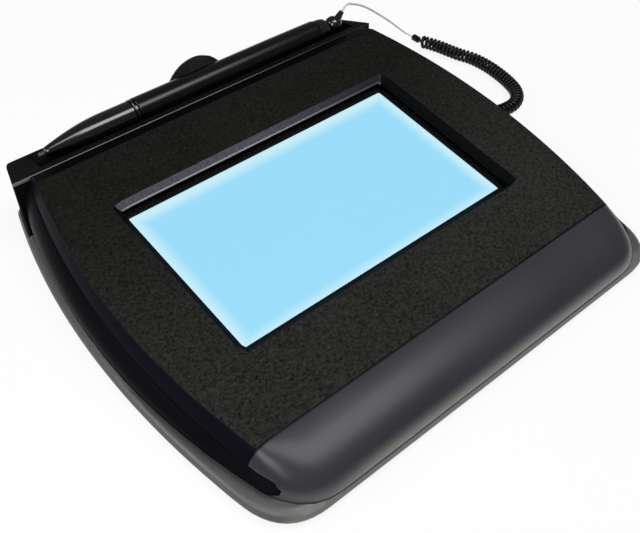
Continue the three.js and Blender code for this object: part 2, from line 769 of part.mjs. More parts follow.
function bottomCover() {
  const rings = flangeLevels.map(({ z, inset }) => planRing({
    wide: flangeHalfWidth - inset,
    front: frontY + inset,
    rear: z > floorTop ? rearWallY - fitGap : rearWallY + flangeRearReach - inset / 2,
    frontCorner: flangeFrontCorner,
    rearCorner: flangeRearCorner,
    sweep: baseSweep,
    heightAt: () => z,
  }));
  const hoodFloor = new THREE.CylinderGeometry(1, 1, baseFloor, hoodRoundSteps);
  hoodFloor.rotateX(Math.PI / 2);
  hoodFloor.scale(hoodHalfWidth, hoodHalfDepth, 1);
  hoodFloor.translate(hoodX, hoodY, baseUnderside + baseFloor / 2);
  const coverRoom = coverBody({ grow: fitGap, rear: trayFrontY + overrun })
    .intersect(solidOf(box(-flangeHalfWidth, flangeHalfWidth, -casingDepth, casingDepth,
      floorTop, deckZ(backY) + overrun)));
  const trayRoom = trayPlan(fitGap, floorTop, flangeTop + overrun);
  const notch = solidOf(box(
    anchorInnerX - anchorTongue - fitGap,
    anchorFaceX + overrun,
    anchorY - anchorWidth / 2 - fitGap,
    anchorY + anchorWidth / 2 + fitGap,
    baseUnderside - overrun,
    flangeTop + overrun,
  ));
  const shell = cutAway(
    joined(solidOf(loft(rings)), solidOf(hoodFloor)),
    coverRoom,
    trayRoom,
    hoodSolid(fitGap, floorTop),
    notch,
    ...footPlaces.map(([, x, y]) => solidOf(post(
      footRadius + fitGap,
      x,
      y,
      baseUnderside - overrun,
      baseUnderside + footRecess,
    ))),
  );
  const bosses = caseScrewPlaces.map(([, x, y]) => solidOf(post(
    screwBossRadius,
    x,
    y,
    floorTop - baseFloor / 2,
    coverPostZ - fitGap,
  )));
  const boardBosses = boardScrewPlaces.map(([, x, y]) => solidOf(post(
    boardBossRadius,
    x,
    y,
    floorTop - baseFloor / 2,
    boardZ - fitGap,
    roundSteps / 2,
  )));
  const underShield = tilted(plate(
    roundedRectangle(stackWidth * 2, stackDepth * 2, windowCorner),
    -shieldFoot - fitGap,
    deckWall + overrun,
  ));
  const supports = [[-1, supportFrontY], [1, supportFrontY], [-1, supportRearY], [1, supportRearY]]
    .map(([side, y]) => {
      const x = screenAcross + side * supportSpreadX;
      const column = solidOf(post(supportRadius, x, y, floorTop - baseFloor / 2, deckZ(y),
        roundSteps / 2));
      return cutAway(column, underShield);
    });
  const screwRoom = caseScrewPlaces.flatMap(([, x, y]) => [
    solidOf(post(screwHeadRadius + fitGap, x, y, baseUnderside - overrun,
      screwHeadZ + screwHeadHeight + fitGap)),
    solidOf(post(screwRadius + fitGap, x, y, baseUnderside, coverPostZ + overrun)),
  ]);
  const boardScrewRoom = boardScrewPlaces.map(([, x, y]) => solidOf(post(
    boardHoleRadius,
    x,
    y,
    floorTop,
    boardZ + overrun,
    roundSteps / 2,
  )));
  return cutAway(
    joined(shell, ...bosses, ...boardBosses, ...supports),
    ...screwRoom,
    ...boardScrewRoom,
  );
}

piece(pad, 'top_cover', 'casing', geometryOf(topCover()));
piece(pad, 'pen_tray', 'tray', geometryOf(penTray()));
piece(pad, 'bottom_cover', 'base', geometryOf(bottomCover()));
piece(pad, 'side_grip_left', 'grip', gripPanel(-1));
piece(pad, 'side_grip_right', 'grip', gripPanel(1));

footPlaces.forEach(([place, x, y]) => {
  const outline = [
    new THREE.Vector2(0, 0),
    new THREE.Vector2(footRadius - footBevel, 0),
    new THREE.Vector2(footRadius, footBevel),
    new THREE.Vector2(footRadius, footHeight),
    new THREE.Vector2(0, footHeight),
  ];
  const foot = piece(pad, `foot_${place}`, 'rubber', new THREE.LatheGeometry(outline, roundSteps));
  foot.rotation.x = Math.PI / 2;
  foot.position.set(x, y, 0);
});

// A screw standing on its head: the head below, the shank upwards
function screwGeometry(headRadius, headHeight, shankRadius, length) {
  const crown = headHeight / 3;
  const outline = [
    new THREE.Vector2(0, 0),
    new THREE.Vector2(headRadius - crown, 0),
    new THREE.Vector2(headRadius, crown),
    new THREE.Vector2(headRadius, headHeight),
    new THREE.Vector2(shankRadius, headHeight),
    new THREE.Vector2(shankRadius, length - shankRadius),
    new THREE.Vector2(0, length),
  ];
  return new THREE.LatheGeometry(outline, roundSteps / 2);
}

caseScrewPlaces.forEach(([place, x, y]) => {
  const geometry = screwGeometry(screwHeadRadius, screwHeadHeight, screwRadius, screwLength);
  const screw = piece(pad, `case_screw_${place}`, 'steel', geometry);
  screw.rotation.x = Math.PI / 2;
  screw.position.set(x, y, screwHeadZ);
});

// Screen stack
piece(deck, 'window_gasket', 'foam', (() => {
  const width = windowWidth - 2 * windowBevel;
  const depth = windowDepth - 2 * windowBevel;
  const shape = roundedRectangle(stackWidth, stackDepth, windowCorner, screenAcross, screenUp);
  shape.holes.push(roundedRectangle(width, depth, windowCorner, windowAcross, windowUp));
  return plate(shape, -gasketDepth - gasketThickness, -gasketDepth);
})());

piece(deck, 'window_lens', 'lens', plate(
  roundedRectangle(stackWidth, stackDepth, windowCorner, screenAcross, screenUp),
  -lensDepth - lensThickness,
  -lensDepth,
));

piece(deck, 'lcd_bezel', 'black', (() => {
  const rim = roundedRectangle(stackWidth, stackDepth, windowCorner, screenAcross, screenUp);
  const face = rim.clone();
  face.holes.push(roundedRectangle(litWidth, litDepth, windowCorner / 2, screenAcross, screenUp));
  rim.holes.push(roundedRectangle(
    stackWidth - 2 * bezelWall,
    stackDepth - 2 * bezelWall,
    windowCorner - bezelWall,
    screenAcross,
    screenUp,
  ));
  const skirtFoot = guideDepth + guideThickness;
  return geometryOf(joined(
    solidOf(plate(face, -bezelDepth - bezelThickness, -bezelDepth)),
    solidOf(plate(rim, -skirtFoot, -bezelDepth - bezelThickness / 2)),
  ));
})());

const panelWidth = litWidth + 2 * panelBorder;
const panelDepthAcross = stackDepth - 2 * (bezelWall + fitGap);
piece(deck, 'lcd_panel', 'lit', plate(
  roundedRectangle(panelWidth, panelDepthAcross, windowCorner / 3, screenAcross, screenUp),
  -panelDepth - panelThickness,
  -panelDepth,
));

const lightBarWidth = 3;
const guideRightX = screenAcross + panelWidth / 2 - lightBarWidth - fitGap;
const guideLeftX = screenAcross - panelWidth / 2;
piece(deck, 'light_guide', 'guide', box(
  guideLeftX,
  guideRightX,
  screenUp - panelDepthAcross / 2,
  screenUp + panelDepthAcross / 2,
  -guideDepth - guideThickness,
  -guideDepth,
));

piece(deck, 'backlight_bar', 'guide', box(
  guideRightX + fitGap,
  screenAcross + panelWidth / 2,
  screenUp - litDepth / 2,
  screenUp + litDepth / 2,
  -guideDepth - guideThickness,
  -guideDepth,
));

piece(deck, 'sensor_board', 'board', plate(
  roundedRectangle(stackWidth, stackDepth, windowCorner, screenAcross, screenUp),
  -sensorDepth - sensorThickness,
  -sensorDepth,
));

piece(deck, 'shield_plate', 'steel', plate(
  roundedRectangle(stackWidth, stackDepth, windowCorner, screenAcross, screenUp),
  -shieldFoot,
  -shieldDepth,
));

// Electronics on the floor of the base
function boardPlate() {
  const shape = roundedRectangle(
    boardWidth,
    boardRearY - boardFrontY,
    boardCorner,
    boardX,
    (boardFrontY + boardRearY) / 2,
  );
  boardScrewPlaces.forEach(([, x, y]) => {
    const hole = new THREE.Path();
    hole.absarc(x, y, boardHoleRadius, 0, Math.PI * 2);
    shape.holes.push(hole);
  });
  return plate(shape, boardZ, boardTop);
}

piece(pad, 'main_board', 'board', boardPlate());

boardScrewPlaces.forEach(([place, x, y]) => {
  const reach = boardTop + fitGap + boardScrewHeadHeight - floorTop - fitGap;
  const geometry = screwGeometry(
    boardScrewHeadRadius,
    boardScrewHeadHeight,
    boardScrewRadius,
    reach,
  );
  const screw = piece(pad, `board_screw_${place}`, 'steel', geometry);
  screw.rotation.x = -Math.PI / 2;
  screw.position.set(x, y, boardTop + fitGap + boardScrewHeadHeight);
});

const connectorDepth = 5;
const connectorReach = 7.5; // connectors behind the screen stack's rear edge
const connectorY = stackRearUp * Math.cos(deckTilt) + connectorReach;
const connectorRearY = connectorY + connectorDepth / 2;
const chipZ = boardTop + fitGap;
const processorSide = 14;
const processorHeight = 1.6;
const processorInset = 34.6; // from the board's left end
const processorX = boardX - boardWidth / 2 + processorInset;
const processorGap = 5.5; // behind the connectors
const processorY = connectorRearY + processorGap + processorSide / 2;
const driverSide = 10;
const driverInset = 25.4; // from the board's right end
const driverX = boardX + boardWidth / 2 - driverInset;
const driverGap = 2.5; // behind the connectors
const driverY = connectorRearY + driverGap + driverSide / 2;
piece(pad, 'processor_chip', 'chip', box(
  processorX - processorSide / 2,
  processorX + processorSide / 2,
  processorY - processorSide / 2,
  processorY + processorSide / 2,
  chipZ,
  chipZ + processorHeight,
));
piece(pad, 'driver_chip', 'chip', box(
  driverX - driverSide / 2,
  driverX + driverSide / 2,
  driverY - driverSide / 2,
  driverY + driverSide / 2,
  chipZ,
  chipZ + processorHeight,
));

piece(pad, 'data_socket', 'steel', (() => {
  const body = solidOf(box(
    hoodX - socketWidth / 2,
    hoodX + socketWidth / 2,
    socketFaceY - socketDepth,
    socketFaceY,
    socketZ,
    socketZ + socketHeight,
  ));
  const mouthZ = socketZ + socketMouthFoot;
  const mouth = solidOf(box(
    hoodX - socketMouthWidth / 2,
    hoodX + socketMouthWidth / 2,
    socketFaceY - socketMouthDepth,
    socketFaceY + overrun,
    mouthZ,
    mouthZ + socketMouthHeight,
  ));
  const latch = solidOf(box(
    hoodX - socketLatchWidth / 2,
    hoodX + socketLatchWidth / 2,
    socketFaceY - socketMouthDepth,
    socketFaceY + overrun,
    mouthZ + socketMouthHeight / 2,
    mouthZ + socketMouthHeight + socketLatchHeight,
  ));
  return geometryOf(cutAway(body, mouth, latch));
})());

// Flat cables from the screen and the sensor down to their connectors on the main board
const flexThickness = 0.3;
const connectorHeight = 2.2;
const lcdFlexWidth = 40;
const lcdFlexInset = 24.6; // from the board's left end
const lcdFlexX = boardX - boardWidth / 2 + lcdFlexInset;
const sensorFlexWidth = 16;
const sensorFlexInset = 19.4; // from the board's right end
const sensorFlexX = boardX + boardWidth / 2 - sensorFlexInset;

function connector(name, x, width, y) {
  piece(pad, name, 'black', box(
    x - width / 2 - flexThickness,
    x + width / 2 + flexThickness,
    y - connectorDepth / 2,
    y + connectorDepth / 2,
    chipZ,
    chipZ + connectorHeight,
  ));
}

connector('lcd_connector', lcdFlexX, lcdFlexWidth, connectorY);
connector('sensor_connector', sensorFlexX, sensorFlexWidth, connectorY);

// A ribbon that leaves an edge of the stack and comes down on its connector from above
function flatCable(startUp, startDepth, endY) {
  const start = new THREE.Vector3(0, startUp, -startDepth).applyMatrix4(deck.matrixWorld);
  const endZ = chipZ + connectorHeight + fitGap;
  const reach = (start.z - endZ) / 2;
  const route = new THREE.CubicBezierCurve(
    new THREE.Vector2(start.y, start.z),
    new THREE.Vector2(start.y + reach * Math.cos(deckTilt), start.z + reach * Math.sin(deckTilt)),
    new THREE.Vector2(endY, endZ + reach),
    new THREE.Vector2(endY, endZ),
  );
  const points = route.getPoints(roundSteps / 2);
  const offset = (side) => points.map((point, i) => {
    const tangent = route.getTangent(i / (points.length - 1));
    const shift = (side * flexThickness) / 2;
    return new THREE.Vector2(point.x - tangent.y * shift, point.y + tangent.x * shift);
  });
  return new THREE.Shape([...offset(-1), ...offset(1).reverse()]);
}

piece(pad, 'lcd_flex', 'flex', runAlongX(
  flatCable(stackRearUp + fitGap, guideDepth + flexThickness, connectorY),
  lcdFlexX - lcdFlexWidth / 2,
  lcdFlexX + lcdFlexWidth / 2,
));
piece(pad, 'sensor_flex', 'flex', runAlongX(
  flatCable(stackRearUp + fitGap, sensorDepth + sensorThickness / 2, connectorY),
  sensorFlexX - sensorFlexWidth / 2,
  sensorFlexX + sensorFlexWidth / 2,
));

// Pen
const nibRadius = 0.85;
const nibCollarRadius = 2.0;
const nibCollarLength = 1.1;
const noseTipRadius = 1.9;
const noseRadius = 5.25;
const noseTaper = 24;
const noseSwellPower = 0.95;
const noseThroat = 9.7; // length of the narrow bore round the nib
const noseBore = 3.5;
const noseSpigotWall = 0.9;
const nibBore = nibRadius + fitGap;
const throatX = noseFrontX + noseThroat;

function noseOutline() {
  const outline = [[noseFrontX, nibBore], [noseFrontX, noseTipRadius - nibRadius / 2]];
  const steps = 7;
  for (let i = 0; i <= steps; i += 1) {
    const along = i / steps;
    const swell = Math.sin((along * Math.PI) / 2) ** noseSwellPower;
    outline.push([
      noseFrontX + nibRadius / 2 + noseTaper * along,
      noseTipRadius + (noseRadius - noseTipRadius) * swell,
    ]);
  }
  outline.push(
    [noseRearX, noseRadius],
    [noseRearX, noseBore],
    [throatX, noseBore],
    [throatX, nibBore],
    [noseFrontX, nibBore],
  );
  return outline;
}

piece(pad, 'pen_nose', 'penGloss', turnedAlongPen(noseOutline()));

const nibRearX = throatX + fitGap + nibCollarLength;
piece(pad, 'pen_nib', 'nib', turnedAlongPen([
  [penTipX, 0],
  [penTipX + nibRadius / 4, nibRadius / 2],
  [penTipX + nibRadius, nibRadius],
  [throatX + fitGap, nibRadius],
  [throatX + fitGap, nibCollarRadius],
  [nibRearX, nibCollarRadius],
  [nibRearX, 0],
], roundSteps / 2));

const coilLength = 20;
const coilCoreRadius = 1.8;
const coilWindingRadius = noseBore - fitGap;
const coilFlange = 1.2;
const coilX = nibRearX + nibTravel + fitGap;
piece(pad, 'pen_coil', 'copper', turnedAlongPen([
  [coilX, 0],
  [coilX, coilWindingRadius],
  [coilX + coilFlange, coilWindingRadius],
  [coilX + coilFlange, coilWindingRadius - fitGap],
  [coilX + coilLength - coilFlange, coilWindingRadius - fitGap],
  [coilX + coilLength - coilFlange, coilCoreRadius],
  [coilX + coilLength, coilCoreRadius],
  [coilX + coilLength, 0],
]));

const ringRadius = 5.4;
piece(pad, 'pen_ring', 'steel', turnedAlongPen([
  [ringX, noseBore],
  [ringX, ringRadius],
  [ringX + ringWidth, ringRadius],
  [ringX + ringWidth, noseBore],
  [ringX, noseBore],
]));

const barrelBore = 3.9;
const barrelBevel = 0.35;
const barrelEndRadius = 5.3;
piece(pad, 'pen_barrel', 'penMatte', turnedAlongPen([
  [barrelX, barrelBore],
  [barrelX, penRadius - barrelBevel],
  [barrelX + barrelBevel, penRadius],
  [barrelEndX - barrelLength / 4, penRadius],
  [barrelEndX - barrelBevel, barrelEndRadius],
  [barrelEndX, barrelEndRadius - barrelBevel],
  [barrelEndX, barrelBore],
  [barrelX, barrelBore],
]));

const penBoardLength = 58;
const penBoardWidth = 7.1;
const penBoardThickness = 1.2;
const penBoardInset = 4; // into the barrel
const penBoardX = barrelX + penBoardInset;
piece(pad, 'pen_board', 'board', box(
  penBoardX,
  penBoardX + penBoardLength,
  penY - penBoardWidth / 2,
  penY + penBoardWidth / 2,
  penHeight - penBoardThickness / 2,
  penHeight + penBoardThickness / 2,
));

const capSpigotLength = 6;
const capEndRadius = 4.2;
piece(pad, 'pen_end_cap', 'penGloss', (() => {
  const outline = [
    [barrelEndX - capSpigotLength, 0],
    [barrelEndX - capSpigotLength, barrelBore - fitGap],
    [capX, barrelBore - fitGap],
    [capX, barrelEndRadius - barrelBevel],
  ];
  const steps = 4;
  for (let i = 1; i <= steps; i += 1) {
    const turn = (i / steps) * (Math.PI / 2);
    const rest = barrelEndRadius - barrelBevel - capEndRadius;
    outline.push([capX + capLength * Math.sin(turn), capEndRadius + rest * Math.cos(turn)]);
  }
  outline.push([capEndX, 0]);
  return turnedAlongPen(outline);
})());

// Swivel between the pen and its string: a neck and a ball on the pen's axis, and a sleeve that rises
const eyeNeckRadius = 1.7;
const eyeBallRadius = 3.9;
const eyeBallX = eyeX + eyeBallRadius + eyeNeckRadius / 2;
const sleeveRise = THREE.MathUtils.degToRad(45);
const sleeveLength = 6.8; // from the ball's centre
const sleeveRootRadius = 2.2;
const sleeveEndRadius = 1.0;
const sleeveDirection = new THREE.Vector3(Math.cos(sleeveRise), 0, Math.sin(sleeveRise));
const stringRadius = 0.45;
const eyeBallCentre = new THREE.Vector3(eyeBallX, penY, penHeight);
piece(pad, 'pen_swivel', 'steel', (() => {
  const neck = solidOf(turnedAlongPen([
    [eyeX, 0],
    [eyeX, eyeNeckRadius],
    [eyeBallX, eyeNeckRadius],
    [eyeBallX, 0],
  ], roundSteps / 2));
  const ball = new THREE.SphereGeometry(eyeBallRadius, roundSteps * 3 / 4, roundSteps / 2);
  ball.translate(eyeBallX, penY, penHeight);
  const sleeve = new THREE.CylinderGeometry(
    sleeveEndRadius,
    sleeveRootRadius,
    sleeveLength,
    roundSteps / 2,
  );
  sleeve.translate(0, sleeveLength / 2, 0);
  sleeve.rotateZ(sleeveRise - Math.PI / 2);
  sleeve.rotateX(Math.PI / 2);
  sleeve.translate(eyeBallX, penY, penHeight);
  return geometryOf(joined(neck, solidOf(ball), solidOf(sleeve)));
})());

// Tether: a thin springy string from the pen, a crimp, and a curly cord to the anchor
const coilOutX = 28.1; // the curly cord's start beyond the flange's widest half width
const coilStartX = flangeHalfWidth + coilOutX;
const stringStart = eyeBallCentre.clone().addScaledVector(sleeveDirection, sleeveLength + fitGap);
const stringPlaces = [ // share of the way to the curly cord, distance behind the pen's axis, height
  [0.045, 0.3, 34.2],
  [0.094, 0.8, 34.1],
  [0.143, 1.35, 33.0],
  [0.256, 1.75, 30.5],
  [0.376, 2.35, 26.9],
  [0.503, 3.05, 22.4],
  [0.6, 3.5, 18.8],
  [0.7, 4.05, 15.0],
  [0.778, 4.4, 11.9],
  [0.838, 4.75, 9.4],
  [0.911, 4.9, 6.3],
  [0.962, 4.3, 4.2],
  [0.991, 2.6, 3.2],
];
const stringRoute = [
  stringStart,
  ...stringPlaces.map(([share, behind, height]) => new THREE.Vector3(
    THREE.MathUtils.lerp(stringStart.x, coilStartX, share),
    penY + behind,
    height,
  )),
  new THREE.Vector3(coilStartX, penY, cordAxisZ),
];
const stringSteps = 44;
const crimpRadius = 1.5;
const crimpLength = 3.2;

piece(pad, 'tether_string', 'string', (() => {
  const section = new THREE.Shape();
  const sides = 8;
  for (let i = 0; i < sides; i += 1) {
    const turn = (i / sides) * Math.PI * 2;
    const x = stringRadius * Math.cos(turn);
    const y = stringRadius * Math.sin(turn);
    if (i === 0) section.moveTo(x, y);
    else section.lineTo(x, y);
  }
  section.closePath();
  return new THREE.ExtrudeGeometry(section, {
    steps: stringSteps,
    bevelEnabled: false,
    extrudePath: new THREE.CatmullRomCurve3(stringRoute),
  });
})());

const crimpStart = stringRoute[stringRoute.length - 1];
const crimpFrontY = crimpStart.y - fitGap - crimpLength;
piece(pad, 'tether_crimp', 'steel', (() => {
  const geometry = new THREE.CylinderGeometry(crimpRadius, crimpRadius, crimpLength, roundSteps / 2);
  geometry.translate(crimpStart.x, crimpStart.y - fitGap - crimpLength / 2, cordAxisZ);
  return geometry;
})());

const coilPlaces = [ // beyond the flange's widest half width, and along Y
  [28.4, 66.4],
  [29.8, 63.0],
  [31.3, 58.1],
  [32.3, 52.8],
  [33.5, 47.6],
  [35.2, 42.7],
  [35.9, 37.4],
  [35.8, 31.4],
  [34.8, 24.6],
  [33.1, 17.8],
  [30.6, 12.0],
  [26.8, 8.0],
  [22.0, 6.0],
  [16.5, 6.0],
  [10.8, 7.1],
];
const coilRoute = [
  [coilStartX, crimpFrontY - fitGap],
  ...coilPlaces.map(([outX, y]) => [flangeHalfWidth + outX, y]),
  [anchorFaceX + anchorNoseLength + fitGap, anchorY],
].map(([x, y]) => new THREE.Vector3(x, y, cordAxisZ));
const curlRadius = 2.3; // to the cord's own axis
const curlPitch = 1.9;
const curlSteps = 8;
const curlSides = 5;
const curlRampTurns = 1.25;
const cordStraight = 1.2; // straight run at each end
const cordNeighbourReach = 3.0; // nearer along the cord counts as the same stretch

// The cord's axis: straight ends, and between them a helix whose radius swells and shrinks
function curlyAxis() {
  const route = new THREE.CatmullRomCurve3(coilRoute, false, 'centripetal');
  route.arcLengthDivisions = 400;
  const length = route.getLength();
  const curled = length - 2 * cordStraight;
  const turns = Math.round(curled / curlPitch);
  const total = turns * curlSteps;
  const up = new THREE.Vector3(0, 0, 1);
  const points = [route.getPointAt(0)];
  for (let i = 0; i <= total; i += 1) {
    const along = i / total;
    const share = (cordStraight + curled * along) / length;
    const centre = route.getPointAt(share);
    const tangent = route.getTangentAt(share);
    const across = new THREE.Vector3().crossVectors(up, tangent).normalize();
    const fromEnd = Math.min(along, 1 - along) * turns;
    const swell = THREE.MathUtils.smoothstep(fromEnd, 0, curlRampTurns) * curlRadius;
    const turn = (i / curlSteps) * Math.PI * 2;
    points.push(centre
      .addScaledVector(across, swell * Math.cos(turn))
      .addScaledVector(up, swell * Math.sin(turn)));
  }
  points.push(route.getPointAt(1));
  return points;
}

// Least clear distance between stretches of the cord more than three diameters apart along it
function leastSelfGap(points) {
  const along = [0];
  for (let i = 1; i < points.length; i += 1) {
    along.push(along[i - 1] + points[i].distanceTo(points[i - 1]));
  }
  let least = Infinity;
  for (let i = 0; i < points.length; i += 1) {
    for (let j = i + 1; j < points.length; j += 1) {
      if (along[j] - along[i] > cordNeighbourReach) {
        least = Math.min(least, points[i].distanceTo(points[j]));
      }
    }
  }
  return least - 2 * cordRadius;
}

// A tube of few sides round the axis, its section carried along without twist, ends closed flat
function tubeRound(points, radius, sides) {
  const tangents = points.map((point, i) => {
    const before = points[Math.max(i - 1, 0)];
    const after = points[Math.min(i + 1, points.length - 1)];
    return new THREE.Vector3().subVectors(after, before).normalize();
  });
  let side = new THREE.Vector3(0, 0, 1);
  const rings = points.map((point, i) => {
    side = side.clone().addScaledVector(tangents[i], -side.dot(tangents[i])).normalize();
    const across = new THREE.Vector3().crossVectors(tangents[i], side);
    const ring = [];
    for (let k = 0; k < sides; k += 1) {
      const turn = (k / sides) * Math.PI * 2;
      ring.push(point.clone()
        .addScaledVector(side, radius * Math.cos(turn))
        .addScaledVector(across, radius * Math.sin(turn)));
    }
    return ring;
  });
  return loft(rings);
}

const curlPoints = curlyAxis();
console.log(`least gap of the curly cord to itself: ${leastSelfGap(curlPoints).toFixed(2)} mm`);
piece(pad, 'tether_coil', 'cord', tubeRound(curlPoints, cordRadius, curlSides));

piece(pad, 'tether_anchor', 'black', (() => {
  const block = solidOf(box(
    anchorInnerX,
    anchorFaceX,
    anchorY - anchorWidth / 2,
    anchorY + anchorWidth / 2,
    baseUnderside + fitGap,
    baseUnderside + fitGap + anchorHeight,
  ));
  const nose = new THREE.CylinderGeometry(
    anchorNoseTipRadius,
    anchorNoseRadius,
    anchorNoseLength + fitGap,
    roundSteps / 2,
  );
  nose.rotateZ(-Math.PI / 2);
  nose.translate(anchorFaceX + (anchorNoseLength - fitGap) / 2, anchorY, cordAxisZ);
  const tongue = solidOf(box(
    anchorInnerX - anchorTongue,
    anchorFaceX - fitGap,
    anchorY - anchorWidth / 2,
    anchorY + anchorWidth / 2,
    baseUnderside + fitGap,
    floorTop,
  ));
  return geometryOf(joined(block, tongue, solidOf(nose)));
})());

export default pad;
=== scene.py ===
import math
import bmesh
import bpy
import numpy as np
from mathutils import Matrix, Vector


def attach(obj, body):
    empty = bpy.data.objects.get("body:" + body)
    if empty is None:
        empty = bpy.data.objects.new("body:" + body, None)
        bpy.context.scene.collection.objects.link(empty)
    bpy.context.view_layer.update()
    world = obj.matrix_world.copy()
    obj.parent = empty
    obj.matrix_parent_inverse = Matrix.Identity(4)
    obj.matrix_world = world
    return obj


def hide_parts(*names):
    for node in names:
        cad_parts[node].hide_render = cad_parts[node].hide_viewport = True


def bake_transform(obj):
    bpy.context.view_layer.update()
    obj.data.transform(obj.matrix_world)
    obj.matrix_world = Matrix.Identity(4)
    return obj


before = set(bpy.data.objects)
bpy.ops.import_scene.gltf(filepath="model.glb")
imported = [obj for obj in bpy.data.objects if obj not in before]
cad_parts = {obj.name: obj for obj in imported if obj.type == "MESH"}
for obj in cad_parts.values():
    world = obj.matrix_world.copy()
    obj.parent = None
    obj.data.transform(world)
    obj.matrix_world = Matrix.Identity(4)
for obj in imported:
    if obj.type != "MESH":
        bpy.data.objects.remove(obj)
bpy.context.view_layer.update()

scene = bpy.context.scene
scene.view_settings.view_transform = "Standard"

# The camera stands in front of the pad, to its left and above it
viewpoint = {
    "eye": (-0.14657, -0.17311, 0.21582),
    "right": (0.761938, -0.647649, 0.001072),
    "up": (0.462011, 0.544700, 0.699892),
    "lens": 48.291,
}


def placed(name, data):  # a new object, linked into the scene
    thing = bpy.data.objects.new(name, data)
    scene.collection.objects.link(thing)
    return thing


def placeCamera(look):
    data = bpy.data.cameras.new("viewpoint")
    data.sensor_fit = "HORIZONTAL"
    data.lens = look["lens"]
    data.clip_start = 0.01
    data.clip_end = 20
    right, up = Vector(look["right"]).normalized(), Vector(look["up"]).normalized()
    back = right.cross(up)
    turned = Matrix((right, up, back)).transposed().to_4x4()
    scene.camera = placed("viewpoint", data)
    scene.camera.matrix_world = Matrix.Translation(Vector(look["eye"])) @ turned


placeCamera(viewpoint)
print("camera placed")


# Shader and geometry trees are written as sums: a Wire is one socket, a Tree adds the nodes
class Wire:
    def __init__(self, tree, socket):
        self.tree = tree
        self.socket = socket

    def sum(self, operation, first, second=None):
        sockets = {0: first} if second is None else {0: first, 1: second}
        return self.tree.add("ShaderNodeMath", {"operation": operation}, sockets)

    def __add__(self, other):
        return self.sum("ADD", self, other)

    __radd__ = __add__

    def __sub__(self, other):
        return self.sum("SUBTRACT", self, other)

    def __rsub__(self, other):
        return self.sum("SUBTRACT", other, self)

    def __mul__(self, other):
        return self.sum("MULTIPLY", self, other)

    def __pow__(self, other):
        return self.sum("POWER", self, other)

    def __abs__(self):
        return self.sum("ABSOLUTE", self)


class Tree:
    def __init__(self, owner):
        self.nodes = owner.nodes
        self.links = owner.links

    def add(self, kind, settings=None, inputs=None, output=0):
        node = self.nodes.new(kind)
        for key, value in (settings or {}).items():
            setattr(node, key, value)
        for key, value in (inputs or {}).items():
            wires = value if isinstance(value, list) else [value]
            if isinstance(wires[0], Wire):
                for wire in wires:
                    self.links.new(wire.socket, node.inputs[key])
            else:
                node.inputs[key].default_value = value
        return Wire(self, node.outputs[output]) if len(node.outputs) else node

    def blend(self, factor, first, second):
        sockets = {0: factor, 6: first, 7: second}
        return self.add("ShaderNodeMix", {"data_type": "RGBA"}, sockets, output=2)

    def step(self, value, low, high):  # 0 below low, 1 above high, smooth between
        settings = {"interpolation_type": "SMOOTHSTEP"}
        sockets = {"Value": value, "From Min": low, "From Max": high}
        return self.add("ShaderNodeMapRange", settings, sockets)

    def noise(self, place, pattern):  # the pattern is a scale, a detail and a roughness
        sockets = {"Vector": place, "Scale": pattern[0], "Detail": pattern[1], "Roughness": pattern[2]}
        return self.add("ShaderNodeTexNoise", {}, sockets)

    def axes(self, place):
        parts = self.add("ShaderNodeSeparateXYZ", {}, {0: place})
        return [Wire(self, parts.socket.node.outputs[k]) for k in range(3)]


def tone(red, green, blue):  # a screen colour, 0 to 255, as linear light
    shares = [value / 255 for value in (red, green, blue)]
    return (*[s / 12.92 if s < 0.04045 else ((s + 0.055) / 1.055) ** 2.4 for s in shares], 1.0)


def newFinish(name):
    material = bpy.data.materials.new(name)
    material.use_nodes = True
    tree = Tree(material.node_tree)
    material.node_tree.nodes.clear()
    place = tree.add("ShaderNodeTexCoord", output=3)
    return material, tree, place


def close(material, tree, shader):
    tree.add("ShaderNodeOutputMaterial", {}, {"Surface": shader})
    return material


# Moulded plastic: fine grain and faint cloudy variation. The piece's own values come before these
plasticLook = {
    "grainScale": 1200.0, "grainDetail": 2.0, "grainRough": 0.7, "cloud": (35.0, 3.0, 0.55),
    "grainTone": 0.5, "cloudTone": 0.5, "grainUneven": 0.1, "cloudUneven": 0.12,
    "bumpStrength": 0.2, "bumpDepth": 0.00003, "specular": 0.5,
}


def mouldedPlastic(name, own):
    look = {**plasticLook, **own}
    material, tree, place = newFinish(name)
    grain = tree.noise(place, (look["grainScale"], look["grainDetail"], look["grainRough"]))
    cloud = tree.noise(place, look["cloud"])
    variation = (grain - 0.5) * look["grainTone"] + (cloud - 0.5) * look["cloudTone"]
    colour = tree.blend(variation + 0.5, look["dark"], look["light"])
    if "frontSheen" in look:  # painted reflection: paler along the front edge
        y = tree.axes(place)[1]
        front = 1.0 - tree.step(y, look["frontSheenFrom"], look["frontSheenTo"])
        colour = tree.blend(front, colour, look["frontSheen"])
    rough = look["roughness"] + (cloud - 0.5) * look["cloudUneven"] + (grain - 0.5) * look["grainUneven"]
    bump = tree.add("ShaderNodeBump", {}, {
        "Strength": look["bumpStrength"], "Distance": look["bumpDepth"], "Height": grain})
    shader = tree.add("ShaderNodeBsdfPrincipled", {}, {
        "Base Color": colour, "Roughness": rough, "Normal": bump,
        "Specular IOR Level": look["specular"]})
    return close(material, tree, shader)


# Bare metal: fine streaks, and stains in its shine
metalLook = {
    "streak": (900.0, 3.0, 0.6), "stain": (160.0, 2.0, 0.5), "stainUneven": 0.2,
    "bumpStrength": 0.15, "bumpDepth": 0.00002,
}


